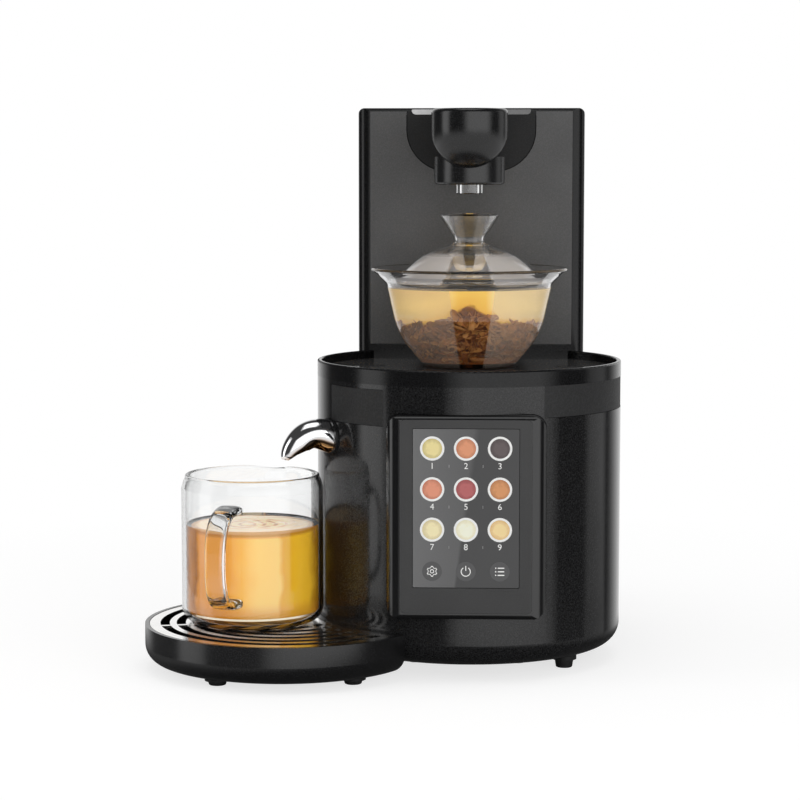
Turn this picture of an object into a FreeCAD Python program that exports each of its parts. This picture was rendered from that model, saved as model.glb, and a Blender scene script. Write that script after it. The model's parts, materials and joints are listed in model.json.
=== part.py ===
import FreeCAD, Part
import math
import os

# Automatic tea maker: a drum-shaped base with a touch screen, a tower with a brewing head and a water
# tank behind it, a glass gaiwan on the deck, a chrome drain spout and a drip tray with a glass pitcher.
# Millimetres, +Z up. Everything is worked out with the drum's axis as X = Y = 0 and moved at the end so
# that the origin is the centre of the footprint on the table. The front of the machine faces -Y.

V = FreeCAD.Vector

# ---------------------------------------------------------------- driving dimensions: clearances
slip = 0.2            # gap round a piece that drops into another of the same body
running = 0.05        # radial clearance of a pin or screw in its hole
apart = 0.3           # gap between pieces of different bodies that rest on each other

# ---------------------------------------------------------------- driving dimensions: drum
drum_radius = 85.0
drum_top = 167.0
drum_underside = 8.0
drum_wall = 2.5
drum_edge_round = 12.0
drum_flange_width = 25.0
ring_height = 8.6
rim_round = 0.9
deck_drop = 4.7
deck_thickness = 2.0
deck_ledge = 3.5
deck_hole_radius = 9.0
base_thickness = 2.0
inlay_depth = 1.2
inlay_recess = 0.2
inlay_left_from = 61.6
inlay_left_to = 31.7
inlay_left_top = 155.7
inlay_left_height = 19.4
inlay_right_from = 29.3
inlay_right_to = 128.0
inlay_right_height = 16.9
boss_radius = 4.0
boss_height = 6.0
base_screw_inset = 18.5
base_screw_angles = (205.0, 245.0, 295.0, 335.0)

# ---------------------------------------------------------------- driving dimensions: screen
bezel_width = 85.0
bezel_bottom = 35.4
bezel_height = 108.3
bezel_reach = 5.0
bezel_depth = 21.0
bezel_wall = 2.5
bezel_side_round = 7.6
bezel_end_round = 2.6
bezel_corner = 8.0
face_width = 69.8
face_height = 103.0
face_thickness = 1.4
face_raise = 0.8
face_corner = 3.0
screen_width = 56.7
screen_height = 85.0
screen_top_margin = 4.5
glass_thickness = 1.4
glass_gap = 0.3
lcd_thickness = 3.2
lcd_flange = 2.2
board_thickness = 1.6
board_gap = 5.0
board_edge = 2.6
board_end = 3.4
# Chips and connectors on the logic board: left and lower offsets from its middle, width, height, thickness.
control_board_chips = (
    (-9.0, -9.0, 18.0, 18.0, 1.6),
    (-24.0, 14.0, 10.0, 6.0, 1.2),
    (12.0, -34.0, 16.0, 6.0, 4.0),
    (-28.0, -34.0, 18.0, 6.0, 4.0),
)

# ---------------------------------------------------------------- driving dimensions: tower and tank
tower_front = 60.0
tower_depth = 26.0
tower_half_width = 66.0
tower_top = 308.0
tower_wall = 2.5
tower_edge_round = 6.5
tower_corner = 3.8
tower_end_round = 1.2
tower_window_half = 50.0
tower_window_bottom = 12.8
tower_window_top = 150.0
panel_half_width = 58.8
panel_thickness = 1.8
panel_bottom = 170.5
panel_top_margin = 1.9
ledge_reach = 4.5
ledge_half_width = 57.5
ledge_foot_half_width = 50.0
ledge_foot_rise = 0.5
ledge_chamfer = 2.4
back_thickness = 2.0
pedestal_top = 38.0
tank_depth = 37.4
tank_drop = 4.4
tank_wall = 2.2
tank_back_round = 9.0
tank_corner_round = 2.0
tank_lid_thickness = 3.8
tank_lid_front_gap = 1.2
tank_lid_rear_gap = 4.8
tank_lid_skirt = 3.0
tank_lid_skirt_wall = 1.5
hinge_radius = 1.9
hinge_pin_radius = 0.9
hinge_inner_half = 20.0
hinge_outer_half = 28.0
grip_length = 20.0
grip_bottom = 278.0
grip_height = 24.0
grip_reach = 0.4
grip_inset = 1.2
socket_x = 45.0
socket_radius = 11.0
socket_height = 7.0
socket_pin_radius = 1.2
valve_hole_radius = 5.0
valve_head_radius = 7.0
valve_head_thickness = 2.0
valve_stem_radius = 2.2
valve_stem_length = 4.6

# ---------------------------------------------------------------- driving dimensions: brewing head
head_radius = 21.4
head_bottom = 273.5
head_top = 306.4
head_top_round = 2.6
head_nose_round = 2.0
head_wall = 2.2
flange_half_width = 37.3
flange_bottom = 271.6
flange_corner = 24.0
flange_gap = 0.35
trim_half_width = 34.6
trim_height = 2.9
trim_top_margin = 0.8
trim_thickness = 1.4
trim_low_round = 2.3
trim_high_round = 0.5
collar_radius = 19.6
collar_bottom = 264.3
collar_height = 15.4
collar_round = 1.6
nozzle_radius = 7.2
nozzle_bore = 4.6
nozzle_drop = 5.3
nozzle_wall_chamfer = 0.5
nozzle_nipple_length = 6.5
nozzle_stand = 3.0
nozzle_roof = 2.5

# ---------------------------------------------------------------- driving dimensions: gaiwan
bowl_foot_radius = 25.0
bowl_height = 54.1
bowl_lift = 0.5
bowl_wall = 1.8
bowl_belly_radius = 40.0
bowl_belly_height = 18.0
bowl_throat_radius = 46.2
bowl_throat_height = 46.0
bowl_flare_radius = 51.8
bowl_flare_height = 51.9
bowl_lip_radius = 55.0
bowl_foot_round = 7.0
bowl_belly_round = 40.0
bowl_throat_round = 5.0
bowl_flare_round = 10.0
bowl_floor = 3.6
bowl_drain_radius = 4.0
ball_radius = 6.0
lid_wall = 1.6
lid_skirt_radius = 45.2
lid_skirt_bottom = 47.95
lid_skirt_top = 49.5
lid_skirt_round = 1.6
lid_shoulder_radius = 39.5
lid_shoulder_height = 51.6
lid_shoulder_round = 1.2
lid_crown_radius = 27.0
lid_crown_height = 63.2
lid_crown_round = 45.0
lid_neck_drop = 1.4
knob_top_height = 84.3
knob_top_radius = 17.0
knob_neck_height = 70.6
knob_neck_radius = 7.8
knob_neck_round = 4.5
bulb_radius = 12.6
bulb_height = 63.4
bulb_round = 3.5
bulb_foot_radius = 7.6
bulb_foot_height = 53.8
bulb_foot_round = 2.5
bulb_outlet_radius = 4.6
bulb_outlet_height = 52.8
gasket_outer_radius = 26.0
gasket_inner_radius = 14.0
gasket_thickness = 1.4
gasket_proud = 0.2

# ---------------------------------------------------------------- driving dimensions: drain and chute
funnel_radius = 30.0
funnel_depth = 15.5
funnel_wall = 1.5
funnel_rim_width = 4.0
thimble_radius = 7.0
thimble_drop = 4.2
funnel_pipe_radius = 6.2
funnel_pipe_wall = 1.2
funnel_pipe_rise = 0.6
funnel_pipe_run = 22.0
funnel_pipe_inset = 7.0
funnel_pipe_bend = 12.0
funnel_pipe_drop = 1.0
funnel_pipe_end = 2.0
magnet_radius = 6.2
magnet_length = 15.0
magnet_travel = 4.0
solenoid_width = 30.0
solenoid_length = 24.0
solenoid_height = 32.0
chute_azimuth = 63.0
chute_height = 126.5
chute_wall = 1.0
chute_play = 0.9
collar_ring_width = 1.9
collar_ring_reach = 1.3

# ---------------------------------------------------------------- driving dimensions: tray and pitcher
tray_radius = 77.6
tray_reach = 22.7
tray_azimuth = 68.0
tray_top = 25.0
tray_underside = 4.0
tray_wall = 2.3
tray_edge_round = 10.0
tray_gap = 0.4
tray_cut_wall = 3.6
grille_rim_gap = 0.3
grille_recess = 0.2
grille_thickness = 1.6
grille_ledge = 3.0
grille_rim = 5.8
grille_slot = 5.1
grille_pitch = 8.85
grille_rings = 6
grille_spoke = 3.0
grille_spoke_angles = (-45.0, -165.0, 75.0)
grille_drum_margin = 5.0
pitcher_reach = 40.0
pitcher_azimuth = 71.1
pitcher_radius = 39.0
pitcher_height = 81.6
pitcher_wall = 2.2
pitcher_foot_round = 8.5
pitcher_shoulder = 7.5
pitcher_shoulder_round = 5.0
pitcher_rim_radius = 36.8
lip_radius = 10.0
lip_reach = 3.6
lip_depth = 11.0
lip_notch = 1.8
lip_point = 1.0
lip_wall = 3.4
handle_turn = 15.0
handle_reach = 27.0
handle_width = 11.5
handle_thickness = 4.0
handle_bottom = 13.5
handle_top = 68.5
handle_round = 14.0
handle_edge_round = 1.5

# ---------------------------------------------------------------- driving dimensions: feet
foot_radius = 5.2
foot_ring_radius = 6.8
foot_ring_height = 3.4
foot_round = 0.8
drum_foot_x = 53.4
drum_foot_y = -38.8
rear_foot_x = 53.4
rear_foot_back = 12.0
tray_foot_ring_height = 1.6
tray_foot_circle = 61.5
tray_foot_angles = (-121.4, -49.5, 105.0)

# ---------------------------------------------------------------- driving dimensions: inner parts
pump_x = 45.0
pump_y = 35.0
pump_z = 28.0
pump_radius = 14.0
pump_length = 14.0
pump_wall = 2.0
motor_radius = 12.0
motor_length = 32.0
rotor_gap = 0.6
rotor_shaft_radius = 1.5
rotor_shaft_depth = 5.0
rotor_hub_radius = 3.5
rotor_blades = 6
rotor_blade_thickness = 1.2
pump_cradle_width = 10.0
nipple_radius = 2.6
nipple_bore = 1.6
nipple_length = 9.0
pump_outlet_rise = 8.0
hose_radius = 4.2
hose_bend = 9.0
heater_x = -40.0
heater_radius = 16.0
heater_height = 96.0
heater_cap = 3.0
heater_cap_reach = 1.5
heater_wall = 3.0
riser_y = 73.0
riser_z = 137.0
riser_rise = 24.0
riser_shift_z = 205.0
power_board_x = -18.0
power_board_y = -22.0
power_board_width = 64.0
power_board_length = 48.0
# Blocks on the mains board: left and front offsets, width, depth and height. Transformer, relay, terminals.
power_board_blocks = (
    (12.0, 6.0, 20.0, 18.0, 16.0),
    (38.0, 10.0, 16.0, 10.0, 12.0),
    (10.0, 34.0, 24.0, 8.0, 9.0),
)
# Capacitors on it: left and front offsets, radius and height.
power_board_cans = (
    (42.0, 32.0, 5.0, 18.0),
    (54.0, 34.0, 4.0, 12.0),
)
solder_sink = 0.2
standoff_radius = 3.2
standoff_height = 5.0
screw_radius = 1.5
screw_head_radius = 3.0
screw_head_height = 1.3
board_hole_margin = 0.8
board_screw_length = 5.0
back_screw_length = 9.0
back_screw_margin = 3.0
switch_height = 89.8
switch_length = 26.7
switch_width = 13.0
switch_depth = 9.0
switch_wall = 1.5
switch_tilt = 7.0
rocker_pin_radius = 1.2
rocker_reach = 1.2
rocker_pin_depth = 1.5
rocker_hub_wall = 1.6
rocker_proud = 0.2
switch_sink = 0.5
inlet_x = -38.0
inlet_width = 27.2
inlet_height = 19.8
inlet_flange = 2.4
inlet_flange_thickness = 1.6
inlet_depth = 16.0
inlet_shroud = 1.6
inlet_pin_width = 2.0
inlet_pin_length = 11.0
inlet_pin_pitch = 7.0

# ---------------------------------------------------------------- worked-out places
ring_bottom = drum_top - ring_height
base_screw_circle = drum_radius - base_screw_inset
deck_top = drum_top - deck_drop
deck_bottom = deck_top - deck_thickness
base_bottom = drum_underside + drum_wall
base_top = base_bottom + base_thickness
tower_back = tower_front + tower_depth
tank_top = tower_top - tank_drop
tank_front = tower_back + apart
tank_back = tower_back + apart + tank_depth
tank_bottom = pedestal_top + apart
bezel_face = -(drum_radius + bezel_reach)
bezel_back = bezel_face + bezel_depth
bezel_middle = bezel_bottom + bezel_height / 2
face_bottom = bezel_middle - face_height / 2 + face_raise
screen_top = face_bottom + face_height - screen_top_margin
screen_bottom = screen_top - screen_height
screen_middle = (screen_top + screen_bottom) / 2
bowl_base = deck_top + bowl_lift
head_centre = head_bottom + head_radius
lid_plate_bottom = tank_top + slip
hinge_z = lid_plate_bottom + hinge_radius
hinge_y = tank_back - hinge_radius - slip
tray_distance = drum_radius + tray_reach
pitcher_distance = drum_radius + pitcher_reach
grille_top = tray_top - grille_recess
pitcher_base = grille_top + apart
funnel_floor = deck_bottom - funnel_depth


# ---------------------------------------------------------------- basic shapes
def block(x0, x1, y0, y1, z0, z1):
    """An upright block between three pairs of planes."""
    return Part.makeBox(x1 - x0, y1 - y0, z1 - z0, V(x0, y0, z0))


def disc(radius, z0, z1, x=0.0, y=0.0):
    """An upright cylinder."""
    return Part.makeCylinder(radius, z1 - z0, V(x, y, z0))


def washer(outer, inner, z0, z1, x=0.0, y=0.0):
    """An upright tube."""
    return disc(outer, z0, z1, x, y).cut(disc(inner, z0 - 1, z1 + 1, x, y))


def rod(radius, start, end):
    """A cylinder between two points."""
    along = end - start
    return Part.makeCylinder(radius, along.Length, start, along)


def join(shapes):
    """One solid from pieces that overlap."""
    return shapes[0].multiFuse(shapes[1:]).removeSplitter()


def round_edges(shape, radius, wanted):
    """The shape with a radius on each edge that wanted picks."""
    return shape.makeFillet(radius, [edge for edge in shape.Edges if wanted(edge)])


def radial(distance, azimuth):
    """The X and Y of a point at a distance from the drum's axis, azimuth degrees to the left of the front."""
    turn = math.radians(azimuth)
    return -distance * math.sin(turn), -distance * math.cos(turn)


def outward(azimuth):
    """The unit vector that points away from the drum's axis at an azimuth."""
    x, y = radial(1.0, azimuth)
    return V(x, y, 0)


def direction(a, b):
    """The unit step from one flat point to another."""
    length = math.hypot(b[0] - a[0], b[1] - a[1])
    return (b[0] - a[0]) / length, (b[1] - a[1]) / length


def offset_path(path, distance):
    """The open path of (a, b, corner radius) points, moved to its left with its corners kept concentric."""
    moved = []
    last = len(path) - 1
    for i, (a, b, radius) in enumerate(path):
        before = direction(path[max(i - 1, 0)], path[max(i, 1)])
        after = direction(path[min(i, last - 1)], path[min(i + 1, last)])
        share = distance / (1 + before[0] * after[0] + before[1] * after[1])
        turns_left = before[0] * after[1] - before[1] * after[0] > 0
        new_radius = radius - distance if turns_left else radius + distance
        moved.append((a - share * (before[1] + after[1]), b + share * (before[0] + after[0]),
                      max(new_radius, 0.0) if radius > 0 else 0.0))
    return moved


def path_edges(path, place):
    """Straight and tangent arc edges along an open path; place turns a flat point into a vector."""
    edges = []
    start = path[0][:2]
    for before_point, corner, after_point in zip(path, path[1:], path[2:]):
        before = direction(before_point, corner)
        after = direction(corner, after_point)
        half_turn = math.acos(max(-1.0, min(1.0, before[0] * after[0] + before[1] * after[1]))) / 2
        radius = corner[2]
        if radius <= 0 or half_turn < 1e-6:
            edges.append(Part.makeLine(place(*start), place(*corner[:2])))
            start = corner[:2]
            continue
        reach = radius * math.tan(half_turn)
        inward = direction(before, after)
        sag = radius / math.cos(half_turn) - radius
        first = (corner[0] - before[0] * reach, corner[1] - before[1] * reach)
        middle = (corner[0] + inward[0] * sag, corner[1] + inward[1] * sag)
        end = (corner[0] + after[0] * reach, corner[1] + after[1] * reach)
        if math.dist(start, first) > 1e-6:
            edges.append(Part.makeLine(place(*start), place(*first)))
        edges.append(Part.Arc(place(*first), place(*middle), place(*end)).toShape())
        start = end
    edges.append(Part.makeLine(place(*start), place(*path[-1][:2])))
    return edges


def upright(a, b):
    """A flat point (radius or X, height) in the XZ plane."""
    return V(a, 0, b)


def face_of(edges):
    """The flat face inside a closed run of edges."""
    return Part.Face(Part.Wire(Part.__sortEdges__(edges)))


def lathe_shell(path, wall, x=0.0, y=0.0):
    """A turned shell: the path spun about the Z axis, with its thickness on the path's left."""
    inner = offset_path(path, wall)
    edges = path_edges(path, upright) + path_edges(inner, upright)
    edges.append(Part.makeLine(upright(*path[-1][:2]), upright(*inner[-1][:2])))
    edges.append(Part.makeLine(upright(*path[0][:2]), upright(*inner[0][:2])))
    solid = face_of(edges).revolve(V(0, 0, 0), V(0, 0, 1), 360)
    solid.translate(V(x, y, 0))
    return solid


def lathe_solid(path):
    """A turned solid: the path, which starts and ends on the Z axis, spun about it."""
    edges = path_edges(path, upright)
    if math.dist(path[0][:2], path[-1][:2]) > 1e-6:
        edges.append(Part.makeLine(upright(*path[-1][:2]), upright(*path[0][:2])))
    return face_of(edges).revolve(V(0, 0, 0), V(0, 0, 1), 360)


def closed_prism(corners, place, along):
    """A prism over a closed outline of (a, b, corner radius) points."""
    first = corners[0]
    second = corners[1]
    start = ((first[0] + second[0]) / 2, (first[1] + second[1]) / 2, 0.0)
    path = [start] + corners[1:] + [first, start]
    return face_of(path_edges(path, place)).extrude(along)


def rounded_block(half_width, y0, y1, z0, z1, side_round, end_round, corner, x=0.0):
    """A block whose front face (at y0) runs back into its sides and ends with different roundings,
    and whose corners are rounded when seen from the front."""
    plan = [(x - half_width, y1, 0.0), (x - half_width, y0, side_round),
            (x + half_width, y0, side_round), (x + half_width, y1, 0.0)]
    side = [(y1, z0, 0.0), (y0, z0, end_round), (y0, z1, end_round), (y1, z1, 0.0)]
    front = [(x - half_width, z0, corner), (x - half_width, z1, corner),
             (x + half_width, z1, corner), (x + half_width, z0, corner)]
    seen_from_top = closed_prism(plan, lambda a, b: V(a, b, z0), V(0, 0, z1 - z0))
    seen_from_side = closed_prism(side, lambda a, b: V(x - half_width, a, b), V(2 * half_width, 0, 0))
    seen_from_front = closed_prism(front, lambda a, b: V(a, y0, b), V(0, y1 - y0, 0))
    return seen_from_top.common(seen_from_side).common(seen_from_front)


def rounded_plate(half_width, y0, y1, z0, z1, corner, x=0.0):
    """A flat upright plate between the planes y0 and y1, with rounded corners seen from the front."""
    front = [(x - half_width, z0, corner), (x - half_width, z1, corner),
             (x + half_width, z1, corner), (x + half_width, z0, corner)]
    return closed_prism(front, lambda a, b: V(a, y0, b), V(0, y1 - y0, 0))


def bent_rod(points, radius, bend):
    """A round rod along straight runs, with an elbow of the bend radius at each turn."""
    pieces = []
    start = points[0]
    for before_point, corner, after_point in zip(points, points[1:], points[2:]):
        before = (corner - before_point).normalize()
        after = (after_point - corner).normalize()
        turn = before.getAngle(after)
        reach = bend * math.tan(turn / 2)
        first = corner - before * reach
        axis = before.cross(after).normalize()
        centre = first + axis.cross(before) * bend
        pieces.append(rod(radius, start, first))
        circle = Part.Wire(Part.makeCircle(radius, first, before))
        pieces.append(Part.Face(circle).revolve(centre, axis, math.degrees(turn)))
        start = corner + after * reach
    pieces.append(rod(radius, start, points[-1]))
    return join(pieces)


def hose(points, bore):
    """A flexible hose with a bore, along straight runs and elbows."""
    first = points[0] - (points[1] - points[0]).normalize()
    last = points[-1] + (points[-1] - points[-2]).normalize()
    inside = [first] + points[1:-1] + [last]
    return bent_rod(points, hose_radius, hose_bend).cut(bent_rod(inside, bore, hose_bend))


def screw(head_face, along, length):
    """A pan head screw: head_face is where its head bears, along points down its shank."""
    head = rod(screw_head_radius, head_face - along * screw_head_height, head_face)
    shank = rod(screw_radius, head_face, head_face + along * length)
    return head.fuse(shank).removeSplitter()


def tower_footprint(margin):
    """The space that the tower column takes inside the drum."""
    return block(-tower_half_width - margin, tower_half_width + margin, tower_front - margin,
                 tower_back + drum_radius, 0, tower_top)


# ---------------------------------------------------------------- drum
def base_screw_places():
    places = []
    for angle in base_screw_angles:
        turn = math.radians(angle)
        places.append(V(base_screw_circle * math.cos(turn), base_screw_circle * math.sin(turn),
                        drum_underside))
    return places


def inlay(azimuth_from, azimuth_to, bottom, top, grow):
    """A curved strip in the drum's wall between two azimuths; a grown one is the pocket for it."""
    z0 = bottom - grow
    z1 = top + grow
    outer = drum_radius - inlay_recess + (2 * drum_wall if grow else 0)
    ring = washer(outer, drum_radius - inlay_recess - inlay_depth - grow, z0, z1)
    margin = math.degrees(grow / drum_radius)
    start = outward(azimuth_from - margin) * (2 * drum_radius)
    wedge_face = Part.Face(Part.makePolygon([V(0, 0, z0), start + V(0, 0, z0), start + V(0, 0, z1),
                                             V(0, 0, z1), V(0, 0, z0)]))
    wedge = wedge_face.revolve(V(0, 0, 0), V(0, 0, 1), azimuth_from - azimuth_to - 2 * margin)
    return ring.common(wedge)


def inlay_left_piece(grow):
    return inlay(inlay_left_to, inlay_left_from, inlay_left_top - inlay_left_height, inlay_left_top, grow)


def inlay_right_piece(grow):
    return inlay(-inlay_right_to, -inlay_right_from, ring_bottom - inlay_right_height, ring_bottom, grow)


def switch_opening(grow):
    """The rectangular hole for the power switch in the drum's right-hand wall."""
    return block(drum_radius - switch_depth * 2, drum_radius + 5, -switch_width / 2 - grow,
                 switch_width / 2 + grow, switch_height - switch_length / 2 - grow,
                 switch_height + switch_length / 2 + grow)


def chute_hole(radius):
    """A round hole through the drum's wall for the chute's root."""
    out = outward(chute_azimuth)
    level = V(0, 0, chute_height)
    return rod(radius, out * (drum_radius / 2) + level, out * (drum_radius + 15) + level)


def make_drum_shell():
    path = [(drum_radius - drum_flange_width, drum_underside, 0.0),
            (drum_radius, drum_underside, drum_edge_round), (drum_radius, ring_bottom, 0.0)]
    shell = lathe_shell(path, drum_wall)
    shell = shell.cut(tower_footprint(slip))
    shell = shell.cut(rounded_plate(bezel_width / 2 + slip, -2 * drum_radius, -drum_radius / 2,
                                    bezel_bottom - slip, bezel_bottom + bezel_height + slip,
                                    bezel_corner + slip))
    shell = shell.cut(chute_hole(chute_root_radius + chute_play))
    shell = shell.cut(switch_opening(slip))
    shell = shell.cut(inlay_left_piece(slip))
    shell = shell.cut(inlay_right_piece(slip))
    hose_end = V(socket_x, pump_back(), pump_z)
    shell = shell.cut(rod(hose_radius + running, V(socket_x, tower_back, pump_z), hose_end))
    for place in base_screw_places():
        shell = shell.cut(disc(screw_radius + running, 0, base_top, place.x, place.y))
    return shell


def make_top_ring():
    """The smooth ring round the deck, with a ledge inside that carries the deck plate."""
    ring = washer(drum_radius, drum_radius - drum_wall, ring_bottom, drum_top)
    ring = round_edges(ring, rim_round, lambda e: e.BoundBox.ZMin > drum_top - 0.01)
    ledge = washer(drum_radius - drum_wall / 2, drum_radius - drum_wall - deck_ledge, ring_bottom, deck_bottom)
    return join([ring, ledge]).cut(tower_footprint(slip))


def make_deck_plate():
    plate = disc(drum_radius - drum_wall - slip, deck_bottom, deck_top)
    plate = plate.cut(tower_footprint(slip))
    plate = plate.cut(disc(deck_hole_radius, deck_bottom - 1, deck_top + 1))
    return plate.cut(washer(gasket_outer_radius + running, gasket_inner_radius - running,
                            deck_top + gasket_proud - gasket_thickness, deck_top + 1))


def make_seat_gasket():
    return washer(gasket_outer_radius, gasket_inner_radius, deck_top + gasket_proud - gasket_thickness,
                  deck_top + gasket_proud)


def power_board_holes():
    half_x = power_board_width / 2 - standoff_radius - board_hole_margin
    half_y = power_board_length / 2 - standoff_radius - board_hole_margin
    return [(power_board_x + x, power_board_y + y) for x in (-half_x, half_x) for y in (-half_y, half_y)]


def make_base_plate():
    plate = disc(drum_radius - drum_edge_round - slip, base_bottom, base_top)
    parts = [plate]
    for place in base_screw_places():
        parts.append(disc(boss_radius, base_bottom, base_top + boss_height, place.x, place.y))
    for x, y in power_board_holes():
        parts.append(disc(standoff_radius, base_bottom, base_top + standoff_height, x, y))
    for y in (pump_y - pump_length / 2, pump_y - pump_length / 2 - motor_length + pump_cradle_width):
        parts.append(block(pump_x - motor_radius * 0.8, pump_x + motor_radius * 0.8,
                           y - pump_cradle_width, y, base_bottom, pump_z - motor_radius * 0.4))
    plate = join(parts)
    motor_end = V(pump_x, pump_y - pump_length / 2 - motor_length * 2, pump_z)
    plate = plate.cut(rod(motor_radius + running, motor_end, V(pump_x, pump_y, pump_z)))
    plate = plate.cut(tower_footprint(slip))
    for place in base_screw_places():
        plate = plate.cut(disc(screw_radius + running, 0, base_top + boss_height + 1, place.x, place.y))
    for x, y in power_board_holes():
        plate = plate.cut(disc(screw_radius + running, base_top, base_top + standoff_height + 1, x, y))
    return plate


def make_base_screws():
    length = drum_wall + base_thickness + boss_height
    return Part.makeCompound([screw(place, V(0, 0, 1), length) for place in base_screw_places()])


def make_inlay_left():
    return inlay_left_piece(0.0)


def make_inlay_right():
    return inlay_right_piece(0.0)


# ---------------------------------------------------------------- screen
def make_screen_bezel():
    """The black frame that stands out of the drum, with a seat for the face plate and an open back."""
    half = bezel_width / 2
    top = bezel_bottom + bezel_height
    frame = rounded_block(half, bezel_face, bezel_back, bezel_bottom, top,
                          bezel_side_round, bezel_end_round, bezel_corner)
    front_wall = bezel_face + face_thickness + bezel_wall
    inner = rounded_plate(half - bezel_wall - 2.0, front_wall, bezel_back + 1, bezel_bottom + bezel_wall,
                          top - bezel_wall, bezel_corner - bezel_wall)
    seat = rounded_plate(face_width / 2 + slip / 2, bezel_face - 1, bezel_face + face_thickness,
                         face_bottom - slip / 2, face_bottom + face_height + slip / 2, face_corner)
    window = rounded_plate(screen_width / 2 + slip, bezel_face - 1, front_wall + 1,
                           screen_bottom - slip, screen_top + slip, 1.0)
    frame = frame.cut(inner).cut(seat).cut(window)
    bosses = []
    for x, z in control_board_holes():
        bosses.append(rod(standoff_radius, V(x, front_wall - 0.5, z), V(x, control_board_front(), z)))
    frame = join([frame] + bosses)
    for x, z in control_board_holes():
        frame = frame.cut(rod(screw_radius + running, V(x, front_wall + 0.5, z),
                              V(x, control_board_front() + 1, z)))
    return frame


def control_board_front():
    return bezel_face + face_thickness + bezel_wall + lcd_thickness + board_gap


def control_board_holes():
    x = bezel_width / 2 - bezel_wall - standoff_radius - board_edge
    low = bezel_bottom + bezel_wall + standoff_radius + board_end
    high = bezel_bottom + bezel_height - bezel_wall - standoff_radius - board_end
    return [(-x, low), (x, low), (-x, high), (x, high)]


def make_face_plate():
    """The grey plate round the display."""
    plate = rounded_plate(face_width / 2, bezel_face, bezel_face + face_thickness, face_bottom,
                          face_bottom + face_height, face_corner)
    return plate.cut(rounded_plate(screen_width / 2, bezel_face - 1, bezel_face + face_thickness + 1,
                                   screen_bottom, screen_top, 0.8))


def make_touch_glass():
    front = bezel_face + 0.1
    return rounded_plate(screen_width / 2 - glass_gap, front, front + glass_thickness,
                         screen_bottom + glass_gap, screen_top - glass_gap, 0.6)


def make_lcd_module():
    front = bezel_face + 0.1 + glass_thickness
    back_of_wall = bezel_face + face_thickness + bezel_wall
    panel = block(-screen_width / 2 + glass_gap, screen_width / 2 - glass_gap, front,
                  back_of_wall + lcd_thickness, screen_bottom + glass_gap, screen_top - glass_gap)
    flange = block(-screen_width / 2 - lcd_flange, screen_width / 2 + lcd_flange, back_of_wall,
                   back_of_wall + lcd_thickness, screen_bottom - lcd_flange, screen_top + lcd_flange)
    return join([panel, flange])


def make_control_board():
    """The logic board behind the display, with its main chips and connectors."""
    front = control_board_front()
    x_edge = control_board_holes()[1][0] + standoff_radius
    low = control_board_holes()[0][1] - standoff_radius
    high = control_board_holes()[2][1] + standoff_radius
    board = block(-x_edge, x_edge, front, front + board_thickness, low, high)
    rear = front + board_thickness
    parts = [board]
    for left, low_edge, wide, tall, thick in control_board_chips:
        z0 = screen_middle + low_edge
        parts.append(block(left, left + wide, rear - solder_sink, rear + thick, z0, z0 + tall))
    board = join(parts)
    for x, z in control_board_holes():
        board = board.cut(rod(screw_radius + running, V(x, front - 1, z), V(x, rear + 1, z)))
    return board


def make_board_screws():
    """The screws of the control board and of the power board."""
    screws = []
    for x, z in control_board_holes():
        back = V(x, control_board_front() + board_thickness, z)
        screws.append(screw(back, V(0, -1, 0), board_screw_length))
    top = base_top + standoff_height + board_thickness
    for x, y in power_board_holes():
        screws.append(screw(V(x, y, top), V(0, 0, -1), board_screw_length))
    return Part.makeCompound(screws)


def make_power_board():
    """The mains board, with its transformer, relay, capacitors and terminal block."""
    z0 = base_top + standoff_height
    x0 = power_board_x - power_board_width / 2
    y0 = power_board_y - power_board_length / 2
    z1 = z0 + board_thickness
    board = block(x0, x0 + power_board_width, y0, y0 + power_board_length, z0, z1)
    parts = [board]
    for left, front, wide, deep, high in power_board_blocks:
        parts.append(block(x0 + left, x0 + left + wide, y0 + front, y0 + front + deep,
                           z1 - solder_sink, z1 + high))
    for left, front, radius, high in power_board_cans:
        parts.append(disc(radius, z1 - solder_sink, z1 + high, x0 + left, y0 + front))
    board = join(parts)
    for x, y in power_board_holes():
        board = board.cut(disc(screw_radius + running, z0 - 1, z1 + 1, x, y))
    return board


# ---------------------------------------------------------------- power switch and inlet
def make_switch_frame():
    """The frame of the rocker switch, let into the drum's right-hand wall."""
    half_y = switch_width / 2
    z0 = switch_height - switch_length / 2
    z1 = switch_height + switch_length / 2
    outer = switch_face()
    frame = block(outer - switch_depth, outer, -half_y, half_y, z0, z1)
    well = block(outer - switch_depth + switch_wall, outer + 1, -half_y + switch_wall, half_y - switch_wall,
                 z0 + switch_wall, z1 - switch_wall)
    pin_half = half_y - switch_wall / 2
    pivot = V(rocker_pivot(), 0, switch_height)
    pin = rod(rocker_pin_radius, pivot - V(0, pin_half, 0), pivot + V(0, pin_half, 0))
    return join([frame.cut(well), pin])


def switch_face():
    """The X of the switch frame's outer face."""
    return drum_radius - rocker_reach - switch_sink


def rocker_pivot():
    return switch_face() - rocker_pin_radius - rocker_pin_depth


def make_switch_rocker():
    """The rocker, stored tipped to its off side, on the pin that crosses the frame."""
    half_y = switch_width / 2 - switch_wall - apart
    pivot_x = rocker_pivot()
    half_z = switch_length / 2 - switch_wall - 2 * apart
    hub = rod(rocker_pin_radius + rocker_hub_wall, V(pivot_x, -half_y, switch_height),
              V(pivot_x, half_y, switch_height))
    paddle = block(pivot_x - rocker_pin_radius / 2, switch_face() + rocker_proud, -half_y, half_y,
                   switch_height - half_z, switch_height + half_z)
    rocker = join([hub, paddle])
    rocker = rocker.cut(rod(rocker_pin_radius + running, V(pivot_x, -switch_width, switch_height),
                            V(pivot_x, switch_width, switch_height)))
    rocker.rotate(V(pivot_x, 0, switch_height), V(0, 1, 0), switch_tilt)
    return rocker


def inlet_middle():
    return (drum_underside + pedestal_top) / 2


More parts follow.
